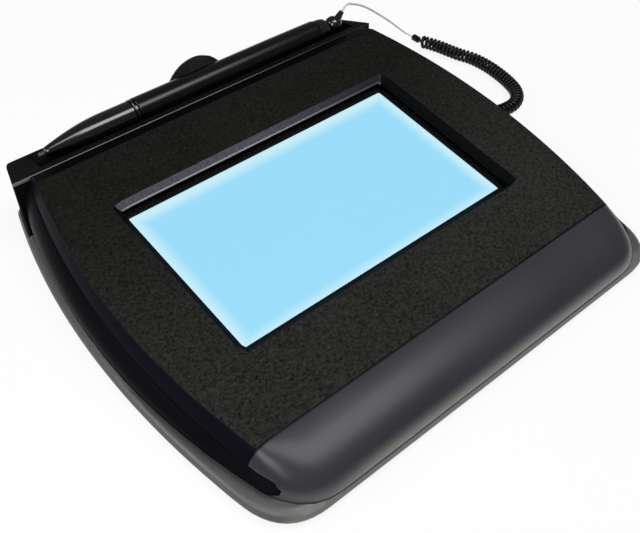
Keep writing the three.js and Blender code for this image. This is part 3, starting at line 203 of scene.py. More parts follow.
def plainMetal(name, own):
    look = {**metalLook, **own}
    material, tree, place = newFinish(name)
    streak = tree.noise(place, look["streak"])
    stain = tree.noise(place, look["stain"])
    colour = tree.blend(streak, look["dark"], look["light"])
    bump = tree.add("ShaderNodeBump", {}, {
        "Strength": look["bumpStrength"], "Distance": look["bumpDepth"], "Height": streak})
    shader = tree.add("ShaderNodeBsdfPrincipled", {}, {
        "Base Color": colour, "Metallic": 1.0, "Normal": bump,
        "Roughness": look["roughness"] + (stain - 0.5) * look["stainUneven"]})
    return close(material, tree, shader)


# Sizes of the casing that the finishes and the pieces share, in metres
casing = {
    "half": 0.0840, "sweep": 0.24396, "sweepY": -0.00687,
    "noseY": -0.0654, "deckHeight": 0.02443, "slope": math.tan(math.radians(7.25)),
    "lipSlopeY": 0.0551, "trayY": 0.06255,
}


# The cover: grained matte deck, smooth nose in front of it, smooth dark sides. Painted into its colour are
# light and shade: the deck darker towards the rear, a dark slope down to the tray, a painted reflection low
# on the nose, and on the window's bevel a lit rear side with a bright rim and shaded near sides
coverLook = {
    "grain": (1500.0, 3.0, 0.75), "speck": (825.0, 1.0, 0.5), "cloud": (22.0, 3.0, 0.5),
    "deckDark": tone(9, 9, 8), "deckLight": tone(56, 57, 54),
    "fleck": {"grain": 1.5, "speck": 0.9, "cloud": 0.35, "middle": 0.42},
    "rearShadeFrom": -0.055, "rearShadeTo": 0.05, "rearShade": 0.6,
    "noseDark": tone(42, 41, 47), "noseLight": tone(53, 52, 58), "noseFade": 0.0002,
    "noseLowSheen": tone(122, 122, 119), "paleFrom": 0.0056, "paleTo": 0.0100,
    "paleLeft": -0.084, "paleRight": -0.045, "paleLeast": 0.25,
    "sideDark": tone(8, 7, 13), "sideLight": tone(17, 16, 25),
    "sideFade": 0.0005,
    "lipSlope": tone(4, 4, 7), "lipFade": 0.0003,
    "seam": tone(4, 4, 6), "seamHalf": 0.00022, "seamDepth": 2.0,
    "windowX": -0.0009, "windowY": -0.0037, "windowHalfX": 0.0612, "windowHalfY": 0.0364,
    "windowFade": 0.0001, "rearFade": 0.001,
    "bevelDark": tone(52, 48, 56), "bevelLight": tone(104, 98, 106), "bevelGrain": 2.0,
    "bevelNearShade": tone(9, 10, 12), "rim": tone(196, 182, 186),
    "bevelFrom": 0.00005, "bevelTo": 0.0002, "bevelDepth": 0.0021,
    "bevelFadeFrom": -0.015, "bevelFadeTo": 0.06, "bevelFade": 0.75,
    "deckRoughness": 0.62, "smoothRoughness": 0.3,
    "rougher": {"cloud": 0.08, "bevel": 0.35, "side": 0.12},
    "speckHeight": 0.6, "smoothHeight": 0.93, "bumpStrength": 0.55, "bumpDepth": 0.00012,
    "matteSpecular": 0.02, "satinSpecular": 0.24,
}


def coverFinish(look):
    material, tree, place = newFinish("cover_plastic")
    x, y, z = tree.axes(place)
    offset = y - casing["sweepY"]
    sweep = casing["sweep"]
    half = (sweep * sweep - offset * offset) ** 0.5 + (casing["half"] - sweep)
    depth = casing["deckHeight"] + y * casing["slope"] - z
    outside = tree.step(abs(x) - half, 0.0, look["sideFade"])
    nose = 1.0 - tree.step(y, casing["noseY"] - look["noseFade"], casing["noseY"] + look["noseFade"])
    side = outside * (1.0 - nose)
    # painted reflection: the lower part of the nose paler, fading towards its left end
    pale = nose * (1.0 - tree.step(z, look["paleFrom"], look["paleTo"]))
    rightward = tree.step(x, look["paleLeft"], look["paleRight"])
    pale = pale * (look["paleLeast"] + rightward * (1 - look["paleLeast"]))
    seam = 1.0 - tree.step(abs(y - casing["noseY"]), look["seamHalf"], look["seamHalf"] * 2)
    lipFrom, lipTo = casing["lipSlopeY"] - look["lipFade"], casing["lipSlopeY"] + look["lipFade"]
    fade = look["windowFade"]
    fromSide = look["windowHalfX"] - abs(x - look["windowX"])
    fromEnd = look["windowHalfY"] - abs(y - look["windowY"])
    rearSide = tree.step(fromSide - fromEnd, 0.0, fade) * tree.step(y, 0.0, look["rearFade"])
    inWindow = tree.step(fromSide, -fade, 0.0) * tree.step(fromEnd, -fade, 0.0)
    bevel = inWindow * tree.step(depth, look["bevelFrom"], look["bevelTo"])
    # painted highlight: a bright rim along the lower edge of the rear bevel
    rim = bevel * rearSide * tree.step(depth, look["bevelDepth"] - fade, look["bevelDepth"])
    grain = tree.noise(place, look["grain"])
    speck = tree.noise(place, look["speck"])
    cloud = tree.noise(place, look["cloud"])
    part = look["fleck"]
    fleck = (grain - 0.5) * part["grain"] + (speck - 0.5) * part["speck"] + (cloud - 0.5) * part["cloud"]
    deck = tree.blend(fleck + part["middle"], look["deckDark"], look["deckLight"])
    # painted shade: the deck darker towards the rear
    deck = tree.blend(tree.step(y, look["rearShadeFrom"], look["rearShadeTo"]) * look["rearShade"], deck, look["deckDark"])
    # painted shade: the slope from the deck down to the tray's lip made dark
    deck = tree.blend(tree.step(y, lipFrom, lipTo), deck, look["lipSlope"])
    front = tree.blend(cloud, look["noseDark"], look["noseLight"])
    front = tree.blend(pale, front, look["noseLowSheen"])
    flank = tree.blend(cloud, look["sideDark"], look["sideLight"])
    # painted light and shade on the window's bevel: the rear side lit, the near sides shaded, darker
    # towards the right
    chamfer = tree.blend((grain - 0.5) * look["bevelGrain"] + 0.5, look["bevelDark"], look["bevelLight"])
    inShade = tree.step(x, look["bevelFadeFrom"], look["bevelFadeTo"]) * look["bevelFade"]
    chamfer = tree.blend(rearSide * (1.0 - inShade), look["bevelNearShade"], chamfer)
    colour = tree.blend(nose, tree.blend(side, deck, flank), front)
    colour = tree.blend(seam, colour, look["seam"])
    colour = tree.blend(rim * (1.0 - inShade), tree.blend(bevel, colour, chamfer), look["rim"])
    smooth = 1.0 - (1.0 - nose) * (1.0 - side) * (1.0 - bevel)
    more = look["rougher"]
    rough = look["deckRoughness"] + smooth * (look["smoothRoughness"] - look["deckRoughness"])
    rough = rough + (cloud - 0.5) * more["cloud"] + bevel * more["bevel"] + side * more["side"]
    height = (grain + speck * look["speckHeight"]) * (1.0 - smooth * look["smoothHeight"])
    bump = tree.add("ShaderNodeBump", {}, {
        "Strength": look["bumpStrength"], "Distance": look["bumpDepth"],
        "Height": height - seam * look["seamDepth"]})
    matte, satin = [tree.add("ShaderNodeBsdfPrincipled", {}, {
        "Base Color": colour, "Roughness": rough, "Normal": bump, "Specular IOR Level": look[specular]})
        for specular in ("matteSpecular", "satinSpecular")]
    return close(material, tree, tree.add("ShaderNodeMixShader", {}, {0: nose, 1: matte, 2: satin}))


# The pen tray: coarse black grain, a painted highlight as a pale line along its front lip, and a hood
# painted lighter
trayLook = {
    "grain": (1300.0, 3.0, 0.75), "cloud": (60.0, 3.0, 0.5),
    "dark": tone(3, 3, 3), "light": tone(25, 25, 24),
    "fleck": {"grain": 2.0, "cloud": 0.7, "middle": 0.42},
    "lipHighlight": tone(118, 118, 120), "lipHighlightReach": 0.0006, "lipHighlightFrom": 0.0275, "lipHighlightEdge": 0.0002,
    "fadeFrom": -0.02, "fadeTo": 0.07, "fade": 0.9,
    "hoodDark": tone(14, 14, 14), "hoodLight": tone(70, 70, 67), "hoodFrom": 0.0290, "hoodEdge": 0.0008,
    "roughness": 0.62, "cloudUneven": 0.1, "lipHighlightSmoother": 0.2,
    "bumpStrength": 0.6, "bumpDepth": 0.00012, "specular": 0.03,
}


def trayFinish(look):
    material, tree, place = newFinish("tray_plastic")
    x, y, z = tree.axes(place)
    grain = tree.noise(place, look["grain"])
    cloud = tree.noise(place, look["cloud"])
    # painted highlight: a pale line along the front lip, fading towards the right
    reach = casing["trayY"] + look["lipHighlightReach"]
    lipHighlight = 1.0 - tree.step(y, reach - look["lipHighlightEdge"], reach)
    lipHighlight = lipHighlight * tree.step(z, look["lipHighlightFrom"], look["lipHighlightFrom"] + look["lipHighlightEdge"])
    lipHighlight = lipHighlight * (1.0 - tree.step(x, look["fadeFrom"], look["fadeTo"]) * look["fade"])
    # painted light: the hood, above the lip's height, lighter
    hood = tree.step(z, look["hoodFrom"], look["hoodFrom"] + look["hoodEdge"])
    part = look["fleck"]
    fleck = (grain - 0.5) * part["grain"] + (cloud - 0.5) * part["cloud"] + part["middle"]
    colour = tree.blend(fleck, look["dark"], look["light"])
    colour = tree.blend(hood, colour, tree.blend(fleck, look["hoodDark"], look["hoodLight"]))
    colour = tree.blend(lipHighlight, colour, look["lipHighlight"])
    rough = look["roughness"] + (cloud - 0.5) * look["cloudUneven"] - lipHighlight * look["lipHighlightSmoother"]
    bump = tree.add("ShaderNodeBump", {}, {
        "Strength": look["bumpStrength"], "Distance": look["bumpDepth"], "Height": grain})
    shader = tree.add("ShaderNodeBsdfPrincipled", {}, {
        "Base Color": colour, "Roughness": rough, "Normal": bump,
        "Specular IOR Level": look["specular"]})
    return close(material, tree, shader)


# The lit screen glows pale blue, whiter towards its edges
screenLook = {
    "middle": tone(149, 219, 250), "edge": tone(204, 240, 250), "unlit": (0.02, 0.03, 0.035, 1.0),
    "centreX": -0.0014, "centreY": -0.0037, "halfX": 0.057, "halfY": 0.032, "fade": 0.006,
    "cell": (2600.0, 1.0, 0.5), "cellGlow": 0.1, "roughness": 0.3, "cellShine": 0.1,
}


def screenFinish(look):
    material, tree, place = newFinish("lit_screen")
    x, y = tree.axes(place)[:2]
    fromSide = look["halfX"] - abs(x - look["centreX"])
    fromEnd = look["halfY"] - abs(y - look["centreY"])
    near = tree.add("ShaderNodeMath", {"operation": "MINIMUM"}, {0: fromSide, 1: fromEnd})
    inside = tree.step(near, 0.0, look["fade"])
    cell = tree.noise(place, look["cell"])
    share = inside * (1 - look["cellGlow"]) + cell * look["cellGlow"]
    shader = tree.add("ShaderNodeBsdfPrincipled", {}, {
        "Base Color": look["unlit"], "Roughness": look["roughness"] + cell * look["cellShine"],
        "Emission Color": tree.blend(share, look["edge"], look["middle"]), "Emission Strength": 1.0})
    return close(material, tree, shader)


# The lens over the screen
lensLook = {
    "tint": (0.985, 0.99, 0.99, 1.0), "shine": 0.014, "mirror": (0.6, 0.6, 0.6, 1.0),
    "haze": (60.0, 3.0, 0.5), "hazeShine": 0.01, "roughness": 0.03, "hazeUneven": 0.05,
}


def lensFinish(look):  # clear, with a faint mirror over it
    material, tree, place = newFinish("lens_glass")
    haze = tree.noise(place, look["haze"])
    clear = tree.add("ShaderNodeBsdfTransparent", {}, {"Color": look["tint"]})
    mirror = tree.add("ShaderNodeBsdfPrincipled", {}, {
        "Base Color": look["mirror"], "Metallic": 1.0,
        "Roughness": look["roughness"] + haze * look["hazeUneven"]})
    share = look["shine"] + haze * look["hazeShine"]
    return close(material, tree, tree.add("ShaderNodeMixShader", {}, {0: share, 1: clear, 2: mirror}))


# Pen plastics: polished nose and cap, satin barrel
penLook = {
    "cloud": (90.0, 3.0, 0.5), "scuff": (1800.0, 2.0, 0.6), "cloudUneven": 0.06, "bumpDepth": 0.00003,
}


def penFinish(name, own):
    look = {**penLook, **own}
    material, tree, place = newFinish(name)
    cloud = tree.noise(place, look["cloud"])
    scuff = tree.noise(place, look["scuff"])
    colour = tree.blend(cloud, look["dark"], look["light"])
    bump = tree.add("ShaderNodeBump", {}, {
        "Strength": look["bumpStrength"], "Distance": look["bumpDepth"], "Height": scuff})
    shader = tree.add("ShaderNodeBsdfPrincipled", {}, {
        "Base Color": colour, "Normal": bump, "Specular IOR Level": look["specular"],
        "Roughness": look["roughness"] + (cloud - 0.5) * look["cloudUneven"]})
    return close(material, tree, shader)


# Circuit boards: tracks under a green mask
boardLook = {
    "mask": tone(18, 74, 40), "track": tone(60, 130, 74), "brickScale": 260.0, "gap": 0.12,
    "cloud": (120.0, 2.0, 0.5), "trackTone": 0.5, "cloudTone": 0.3,
    "roughness": 0.35, "cloudUneven": 0.15, "bumpStrength": 0.3, "bumpDepth": 0.00003,
}


def boardFinish(look):
    material, tree, place = newFinish("circuit_board")
    brick = tree.add("ShaderNodeTexBrick", {"offset": 0.5}, {
        "Vector": place, "Scale": look["brickScale"], "Mortar Size": look["gap"],
        "Color1": (0, 0, 0, 1), "Color2": (0, 0, 0, 1), "Mortar": (1, 1, 1, 1)})
    cloud = tree.noise(place, look["cloud"])
    track = tree.add("ShaderNodeRGBToBW", {}, {0: brick})
    share = track * look["trackTone"] + cloud * look["cloudTone"]
    bump = tree.add("ShaderNodeBump", {}, {
        "Strength": look["bumpStrength"], "Distance": look["bumpDepth"], "Height": track})
    shader = tree.add("ShaderNodeBsdfPrincipled", {}, {
        "Base Color": tree.blend(share, look["mask"], look["track"]), "Normal": bump,
        "Roughness": look["roughness"] + cloud * look["cloudUneven"]})
    return close(material, tree, shader)


finishes = {
    "cover": coverFinish(coverLook),
    "tray": trayFinish(trayLook),
    "base": mouldedPlastic("base_plastic", {
        "dark": tone(60, 60, 62), "light": tone(82, 82, 81), "roughness": 0.42, "grainScale": 1300.0,
        "cloudTone": 0.6, "bumpDepth": 0.00006,
        # painted reflection: the flange paler along its front edge
        "frontSheen": tone(100, 100, 97), "frontSheenFrom": -0.0835, "frontSheenTo": -0.0800}),
    "grip": mouldedPlastic("grip_plastic", {
        "dark": tone(8, 8, 10), "light": tone(19, 19, 23), "roughness": 0.3, "grainScale": 900.0,
        "grainTone": 0.3, "cloudTone": 0.6, "bumpStrength": 0.12, "bumpDepth": 0.00004,
        "specular": 0.004}),
    "bezel": mouldedPlastic("bezel_plastic", {
        "dark": tone(2, 2, 3), "light": tone(9, 9, 11), "roughness": 0.62, "bumpDepth": 0.00005,
        "specular": 0.03}),
    "blackPlastic": mouldedPlastic("black_plastic", {
        "dark": tone(8, 8, 9), "light": tone(26, 26, 28), "roughness": 0.4, "bumpDepth": 0.00005}),
    "foam": mouldedPlastic("gasket_foam", {
        "dark": tone(6, 6, 6), "light": tone(24, 24, 24), "roughness": 0.9, "grainScale": 3000.0,
        "grainTone": 1.2, "cloudTone": 0.3, "bumpStrength": 0.6, "bumpDepth": 0.0001,
        "specular": 0.2}),
    "rubber": mouldedPlastic("foot_rubber", {
        "dark": tone(12, 12, 12), "light": tone(38, 38, 38), "roughness": 0.82, "grainScale": 1100.0,
        "grainTone": 1.0, "bumpStrength": 0.5, "bumpDepth": 0.0001, "specular": 0.25}),
    "guide": mouldedPlastic("guide_plastic", {
        "dark": tone(205, 215, 212), "light": tone(235, 242, 240), "roughness": 0.2,
        "grainScale": 1500.0, "grainTone": 0.6, "cloudTone": 0.4, "bumpDepth": 0.00004}),
    "flex": mouldedPlastic("flex_film", {
        "dark": tone(120, 66, 18), "light": tone(196, 122, 48), "roughness": 0.3,
        "grainScale": 700.0, "grainTone": 0.9, "cloudTone": 0.6, "bumpStrength": 0.15,
        "bumpDepth": 0.00004}),
    "nib": mouldedPlastic("nib_plastic", {
        "dark": tone(30, 30, 32), "light": tone(66, 66, 68), "roughness": 0.45,
        "grainScale": 2500.0}),
    "cord": mouldedPlastic("cord_plastic", {
        "dark": tone(3, 3, 4), "light": tone(12, 12, 14), "roughness": 0.28, "grainScale": 2200.0,
        "grainTone": 0.4, "cloudTone": 0.6, "bumpStrength": 0.15, "specular": 0.22}),
    "string": mouldedPlastic("string_plastic", {
        "dark": tone(190, 190, 190), "light": tone(222, 222, 222), "roughness": 0.4,
        "grainScale": 2600.0, "grainTone": 0.7}),
    "steel": plainMetal("plain_steel", {
        "dark": tone(150, 151, 154), "light": tone(198, 200, 203), "roughness": 0.32}),
    "contact": plainMetal("contact_wire", {
        "dark": tone(170, 132, 58), "light": tone(228, 192, 108), "roughness": 0.25}),
    "copper": plainMetal("copper_wire", {
        "dark": tone(150, 78, 40), "light": tone(214, 128, 74), "roughness": 0.35}),
    "penGloss": penFinish("pen_gloss", {
        "dark": tone(2, 2, 4), "light": tone(7, 6, 12), "roughness": 0.15, "bumpStrength": 0.03,
        "specular": 0.7}),
    "penMatte": penFinish("pen_matte", {
        "dark": tone(2, 2, 2), "light": tone(5, 5, 5), "roughness": 0.23, "bumpStrength": 0.08,
        "specular": 0.32}),
    "board": boardFinish(boardLook),
    "screen": screenFinish(screenLook),
    "lens": lensFinish(lensLook),
}
print("finishes made")


corners = ("front_left", "front_right", "rear_left", "rear_right")
nodeFinishes = {
    "window_lens": "lens", "window_gasket": "foam", "lcd_bezel": "bezel",
    "lcd_panel": "screen", "light_guide": "guide", "backlight_bar": "guide",
    "sensor_board": "board", "shield_plate": "steel", "main_board": "board",
    "processor_chip": "blackPlastic", "driver_chip": "blackPlastic",
    "lcd_connector": "blackPlastic", "sensor_connector": "blackPlastic",
    "lcd_flex": "flex", "sensor_flex": "flex", "data_socket": "steel",
    "pen_coil": "copper", "pen_board": "board", "pen_nib": "nib",
    "tether_crimp": "cord", "tether_anchor": "cord",
    "top_cover": "cover", "pen_tray": "tray", "bottom_cover": "base",
    "side_grip_left": "grip", "side_grip_right": "grip",
    "pen_nose": "penGloss", "pen_ring": "penGloss", "pen_barrel": "penMatte",
    "pen_end_cap": "penGloss", "pen_swivel": "penGloss",
    "tether_string": "string", "tether_coil": "cord",
}
for corner in corners:
    nodeFinishes["foot_" + corner] = "rubber"
    nodeFinishes["case_screw_" + corner] = "steel"
    nodeFinishes["board_screw_" + corner] = "steel"
for node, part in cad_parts.items():
    if not part.material_slots:
        part.data.materials.append(None)
    for slot in part.material_slots:
        slot.material = finishes[nodeFinishes[node]]


def standsFor(piece, node):  # in the node's place, with its finish and its slot
    piece.data.materials.clear()
    piece.data.materials.append(finishes[nodeFinishes[node]])
    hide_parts(node)


# Mouldings: the CAD shapes merged, and their facets rounded out on the curves that they stand for
rounding = {
    "flat": math.radians(0.4), "onCurve": math.cos(math.radians(42)),
    "straight": math.cos(math.radians(0.3)), "lean": 0.8, "furthest": 0.0007, "merge": 1e-6,
}


def rootOf(root, k):  # of the group that k has been joined to
    while root[k] != k:
        root[k] = root[root[k]]
        k = root[k]
    return k


class Facets:  # triangles, with normals in which flat areas weigh most
    def __init__(self, points, faces, sharp):
        self.points = points
        self.faces = faces
        self.normals, self.areas = [], []
        for a, b, c in faces:
            cross = (points[b] - points[a]).cross(points[c] - points[a])
            self.areas.append(cross.length / 2)
            self.normals.append(cross.normalized())
        self.edges = {}
        for f, face in enumerate(faces):
            for k in range(3):
                key = tuple(sorted((face[k], face[(k + 1) % 3])))
                self.edges.setdefault(key, []).append(f)
        self.sharpEdges = {key for key, pair in self.edges.items() if self.turn(pair) > sharp}
        self.sharpAt = {}
        for a, b in self.sharpEdges:
            self.sharpAt.setdefault(a, []).append(b)
            self.sharpAt.setdefault(b, []).append(a)
        self.weights = self.flatAreas()
        self.gatherFans()

    def turn(self, pair):
        if len(pair) != 2:
            return math.pi
        return math.acos(max(-1.0, min(1.0, self.normals[pair[0]].dot(self.normals[pair[1]]))))

    def flatAreas(self):  # the area of the flat region each face lies in
        root = list(range(len(self.faces)))
        for pair in self.edges.values():
            if self.turn(pair) < rounding["flat"]:
                root[rootOf(root, pair[0])] = rootOf(root, pair[1])
        self.region = [rootOf(root, k) for k in range(len(self.faces))]
        total = {}
        for k, area in zip(self.region, self.areas):
            total[k] = total.get(k, 0.0) + area
        return [total[k] for k in self.region]

    def gatherFans(self):  # one normal for the faces round a point, up to sharp edges
        corner = {(v, f): (v, f) for f, face in enumerate(self.faces) for v in face}
        for key, pair in self.edges.items():
            if key in self.sharpEdges:
                continue
            for v in key:
                corner[rootOf(corner, (v, pair[0]))] = rootOf(corner, (v, pair[1]))
        members = {}
        for v, f in corner:
            members.setdefault(rootOf(corner, (v, f)), {})[self.region[f]] = f
        normals = {}
        for fan, regions in members.items():
            total = Vector((0, 0, 0))
            for f in regions.values():
                total += self.normals[f] * self.weights[f]
            normals[fan] = total.normalized()
        self.fanNormal = {key: normals[rootOf(corner, key)] for key in corner}

    def tangentOnSharp(self, at, other):  # along a sharp polyline, at one end of a segment
        ahead = self.points[other] - self.points[at]
        best, found = rounding["onCurve"], None
        for before in self.sharpAt[at]:
            back = self.points[at] - self.points[before]
            likeness = back.normalized().dot(ahead.normalized())
            if before != other and likeness > best:
                best, found = likeness, back
        if found is None or best > rounding["straight"]:
            return ahead.normalized()
        return (found + ahead).normalized()

    def tangentOnFan(self, at, ahead, normal):
        along = ahead - normal * ahead.dot(normal)
        if along.length < rounding["lean"] * ahead.length:
            return ahead.normalized()
        return along.normalized()

    def middle(self, key, pair):
        a, b = key
        start, end = self.points[a], self.points[b]
        ahead = end - start
        if key in self.sharpEdges:
            first = self.tangentOnSharp(a, b)
            last = -self.tangentOnSharp(b, a)
        else:
            first = self.tangentOnFan(a, ahead, self.fanNormal[(a, pair[0])])
            last = self.tangentOnFan(b, ahead, self.fanNormal[(b, pair[0])])
        shift = (first - last) * (ahead.length / 8)  # the middle of a cubic with these two ends
        if shift.length > rounding["furthest"]:
            shift = Vector((0, 0, 0))
        return (start + end) / 2 + shift

    def finer(self):
        points = list(self.points)
        middles = {}
        for key, pair in self.edges.items():
            middles[key] = len(points)
            points.append(self.middle(key, pair))
        faces = []
        for face in self.faces:
            m = [middles[tuple(sorted((face[k], face[(k + 1) % 3])))] for k in range(3)]
            faces += [(face[0], m[0], m[2]), (m[0], face[1], m[1]), (m[2], m[1], face[2]), tuple(m)]
        return points, faces


def moulding(node, body, sharp):  # edges that turn by more than sharp degrees stay sharp
    mesh = bmesh.new()
    mesh.from_mesh(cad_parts[node].data)
    bmesh.ops.remove_doubles(mesh, verts=mesh.verts, dist=rounding["merge"])
    bmesh.ops.triangulate(mesh, faces=mesh.faces)
    mesh.verts.ensure_lookup_table()
    points = [v.co.copy() for v in mesh.verts]
    faces = [tuple(v.index for v in f.verts) for f in mesh.faces]
    mesh.free()
    turn = math.radians(sharp)
    shape = Facets(*Facets(points, faces, turn).finer(), turn)
    data = bpy.data.meshes.new(node + "_moulding")
    data.from_pydata([tuple(p) for p in shape.points], [], shape.faces)
    for face in data.polygons:
        face.use_smooth = True
    data.normals_split_custom_set([
        tuple(shape.fanNormal[(data.loops[k].vertex_index, face.index)])
        for face in data.polygons for k in face.loop_indices])
    piece = placed(node + "_moulding", data)
    standsFor(piece, node)
    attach(piece, body)
    return piece


# Cords: a thin springy string from the pen to a crimp, and a curly cord from there to its anchor
tether = {
    "sides": 10, "sharp": 40.0, "stringRadius": 0.00045, "stringStep": 0.0012,
    "string": [
        (0.07477, 0.07245, 0.03282), (0.07681, 0.07275, 0.03420), (0.07902, 0.07325, 0.03410),
        (0.08124, 0.07380, 0.03300), (0.08635, 0.07420, 0.03050), (0.09178, 0.07480, 0.02690),
        (0.09752, 0.07550, 0.02240), (0.10191, 0.07595, 0.01880), (0.10643, 0.07650, 0.01500),
        (0.10996, 0.07685, 0.01190), (0.11267, 0.07720, 0.00940), (0.11597, 0.07735, 0.00630),
        (0.11828, 0.07675, 0.00420), (0.11959, 0.07505, 0.00320), (0.12000, 0.07245, 0.00305),
    ],
    "coil": [
        (0.12000, 0.06865, 0.00305), (0.12030, 0.06640, 0.00305), (0.12170, 0.06300, 0.00305),
        (0.12320, 0.05810, 0.00305), (0.12420, 0.05280, 0.00305), (0.12540, 0.04760, 0.00305),
        (0.12710, 0.04270, 0.00305), (0.12780, 0.03740, 0.00305), (0.12770, 0.03140, 0.00305),
        (0.12670, 0.02460, 0.00305), (0.12500, 0.01780, 0.00305), (0.12250, 0.01200, 0.00305),
        (0.11870, 0.00800, 0.00305), (0.11390, 0.00600, 0.00305), (0.10840, 0.00600, 0.00305),
        (0.10270, 0.00710, 0.00305), (0.09696, 0.00760, 0.00305),
    ],
    "followsPen": (0.0755, 0.0725, 0.0328), "followsPad": (0.1130, 0.0725, 0.0328),
    "wireRadius": 0.00075, "curlRadius": 0.0022, "curlPitch": 0.0019, "straight": 0.0006,
    "bendRadius": 0.0009, "bendSteps": 6, "arcSteps": 8, "turnSteps": 20,
    "coilStep": 0.0002, "aheadReach": 0.0003,
}


def between(first, second, low, high, knot):  # first at the knot low, second at the knot high
    return first * ((high - knot) / (high - low)) + second * ((knot - low) / (high - low))


def throughPoints(points, step, parts=24):  # a smooth curve through the points, evenly spaced
    ring = [Vector(p) for p in points]
    ring = [2 * ring[0] - ring[1], *ring, 2 * ring[-1] - ring[-2]]
    dense = []
    for a, b, c, d in zip(ring, ring[1:], ring[2:], ring[3:]):
        u = [0.0]
        for one, two in ((a, b), (b, c), (c, d)):
            u.append(u[-1] + (two - one).length ** 0.5)
        for k in range(parts):
            t = u[1] + (u[2] - u[1]) * k / parts
            run = [between(p, q, u[i], u[i + 1], t) for i, (p, q) in enumerate(((a, b), (b, c), (c, d)))]
            pair = [between(run[i], run[i + 1], u[i], u[i + 2], t) for i in range(2)]
            dense.append(between(*pair, u[1], u[2], t))
    dense.append(ring[-2])
    return respaced(dense, step)


def respaced(points, step):
    along = [0.0]
    for a, b in zip(points, points[1:]):
        along.append(along[-1] + (b - a).length)
    table = np.array([tuple(p) for p in points])
    wanted = np.linspace(0, along[-1], round(along[-1] / step) + 1)
    return [Vector([float(np.interp(s, along, table[:, k])) for k in range(3)]) for s in wanted]


def lengthOf(points):
    return sum((b - a).length for a, b in zip(points, points[1:]))


def tube(name, node, points, radius):  # a round tube, carried along without twist
    mesh = bmesh.new()
    sides = tether["sides"]
    side = Vector((0, 0, 1))
    rings = []
    for i, point in enumerate(points):
        ahead = points[min(i + 1, len(points) - 1)] - points[max(i - 1, 0)]
        ahead.normalize()
        side = (side - ahead * side.dot(ahead)).normalized()
        across = ahead.cross(side)
        rings.append([mesh.verts.new(point + (side * math.cos(turn) + across * math.sin(turn)) * radius)
                      for turn in (2 * math.pi * k / sides for k in range(sides))])
    for low, high in zip(rings, rings[1:]):
        for k in range(sides):
            mesh.faces.new((low[k], low[(k + 1) % sides], high[(k + 1) % sides], high[k]))
    mesh.faces.new(list(reversed(rings[0])))
    mesh.faces.new(rings[-1])
    return closedPiece(name, node, mesh, tether["sharp"])


def closedPiece(name, node, mesh, sharp):
    bmesh.ops.recalc_face_normals(mesh, faces=mesh.faces)
    data = bpy.data.meshes.new(name)
    mesh.to_mesh(data)
    mesh.free()
    piece = placed(name, data)
    smoothByAngle(data, sharp)
    standsFor(piece, node)
    return piece


def smoothByAngle(data, sharp):
    for face in data.polygons:
        face.use_smooth = True
    data.set_sharp_from_angle(angle=math.radians(sharp))


def leadIn(look):  # off the axis in one bend, and onto the helix in a second
    radius, bend = look["curlRadius"], look["bendRadius"]
    arc = (radius * radius - bend * bend) / (2 * radius)
    meet = math.atan2(arc, bend)
    places = []
    for k in range(look["bendSteps"]):
        turn = k / look["bendSteps"] * math.pi / 2
        places.append((bend * math.sin(turn), bend * (1 - math.cos(turn)), 0.0))
    rise = look["curlPitch"] / (2 * math.pi)
    for k in range(look["arcSteps"]):
        turned = k / look["arcSteps"] * (meet + math.pi / 2)
        places.append((bend + rise * turned, bend + arc * math.sin(turned), arc * (1 - math.cos(turned))))
    return places, meet, bend + rise * (meet + math.pi / 2)


def helix(look, reach):  # distance along the route, and two offsets from it
    start, meet, used = leadIn(look)
    count = round((reach - 2 * used) / look["curlPitch"] * look["turnSteps"])
    places = list(start)
    for i in range(count + 1):
        turn = meet + 2 * math.pi * i / look["turnSteps"]
        along = used + (reach - 2 * used) * i / count
        places.append((along, look["curlRadius"] * math.cos(turn), look["curlRadius"] * math.sin(turn)))
    last = turn + meet
    for along, across, up in reversed(start):
        places.append((reach - along, across * math.cos(last) + up * math.sin(last),
                       across * math.sin(last) - up * math.cos(last)))
    return places


def curls(look):  # the curly cord: a straight end, the helix, a straight end
    route = throughPoints(look["coil"], look["coilStep"])
    along = np.linspace(0, lengthOf(route), len(route))
    table = np.array([tuple(p) for p in route])
    up = Vector((0, 0, 1))

    def at(s):
        return Vector([float(np.interp(s, along, table[:, k])) for k in range(3)])
    points = [route[0]]
    for here, sideways, upwards in helix(look, along[-1] - 2 * look["straight"]):
        here += look["straight"]
        ahead = (at(here + look["aheadReach"]) - at(here - look["aheadReach"])).normalized()
        points.append(at(here) + up.cross(ahead).normalized() * sideways + up * upwards)
    points.append(route[-1])
    return points


stringPath = throughPoints(tether["string"], tether["stringStep"])
tetherString = tube("tether_line", "tether_string", stringPath, tether["stringRadius"])
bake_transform(tetherString)

coilPath = curls(tether)
curlyCord = tube("curly_cord", "tether_coil", coilPath, tether["wireRadius"])
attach(curlyCord, "pad")
print("cords laid:", round(lengthOf(stringPath), 4), round(lengthOf(coilPath), 4))

crimp = moulding("tether_crimp", "pad", 45.0)
anchor = moulding("tether_anchor", "pad", 45.0)
lengthOf(stringPath)
lengthOf(coilPath)


for node in ("top_cover", "bottom_cover", "pen_tray"):
    moulding(node, "pad", 32.0)
for node in ("side_grip_left", "side_grip_right"):
    moulding(node, "pad", 50.0)
for corner in corners:
    moulding("foot_" + corner, "pad", 30.0)
print("mouldings dressed")


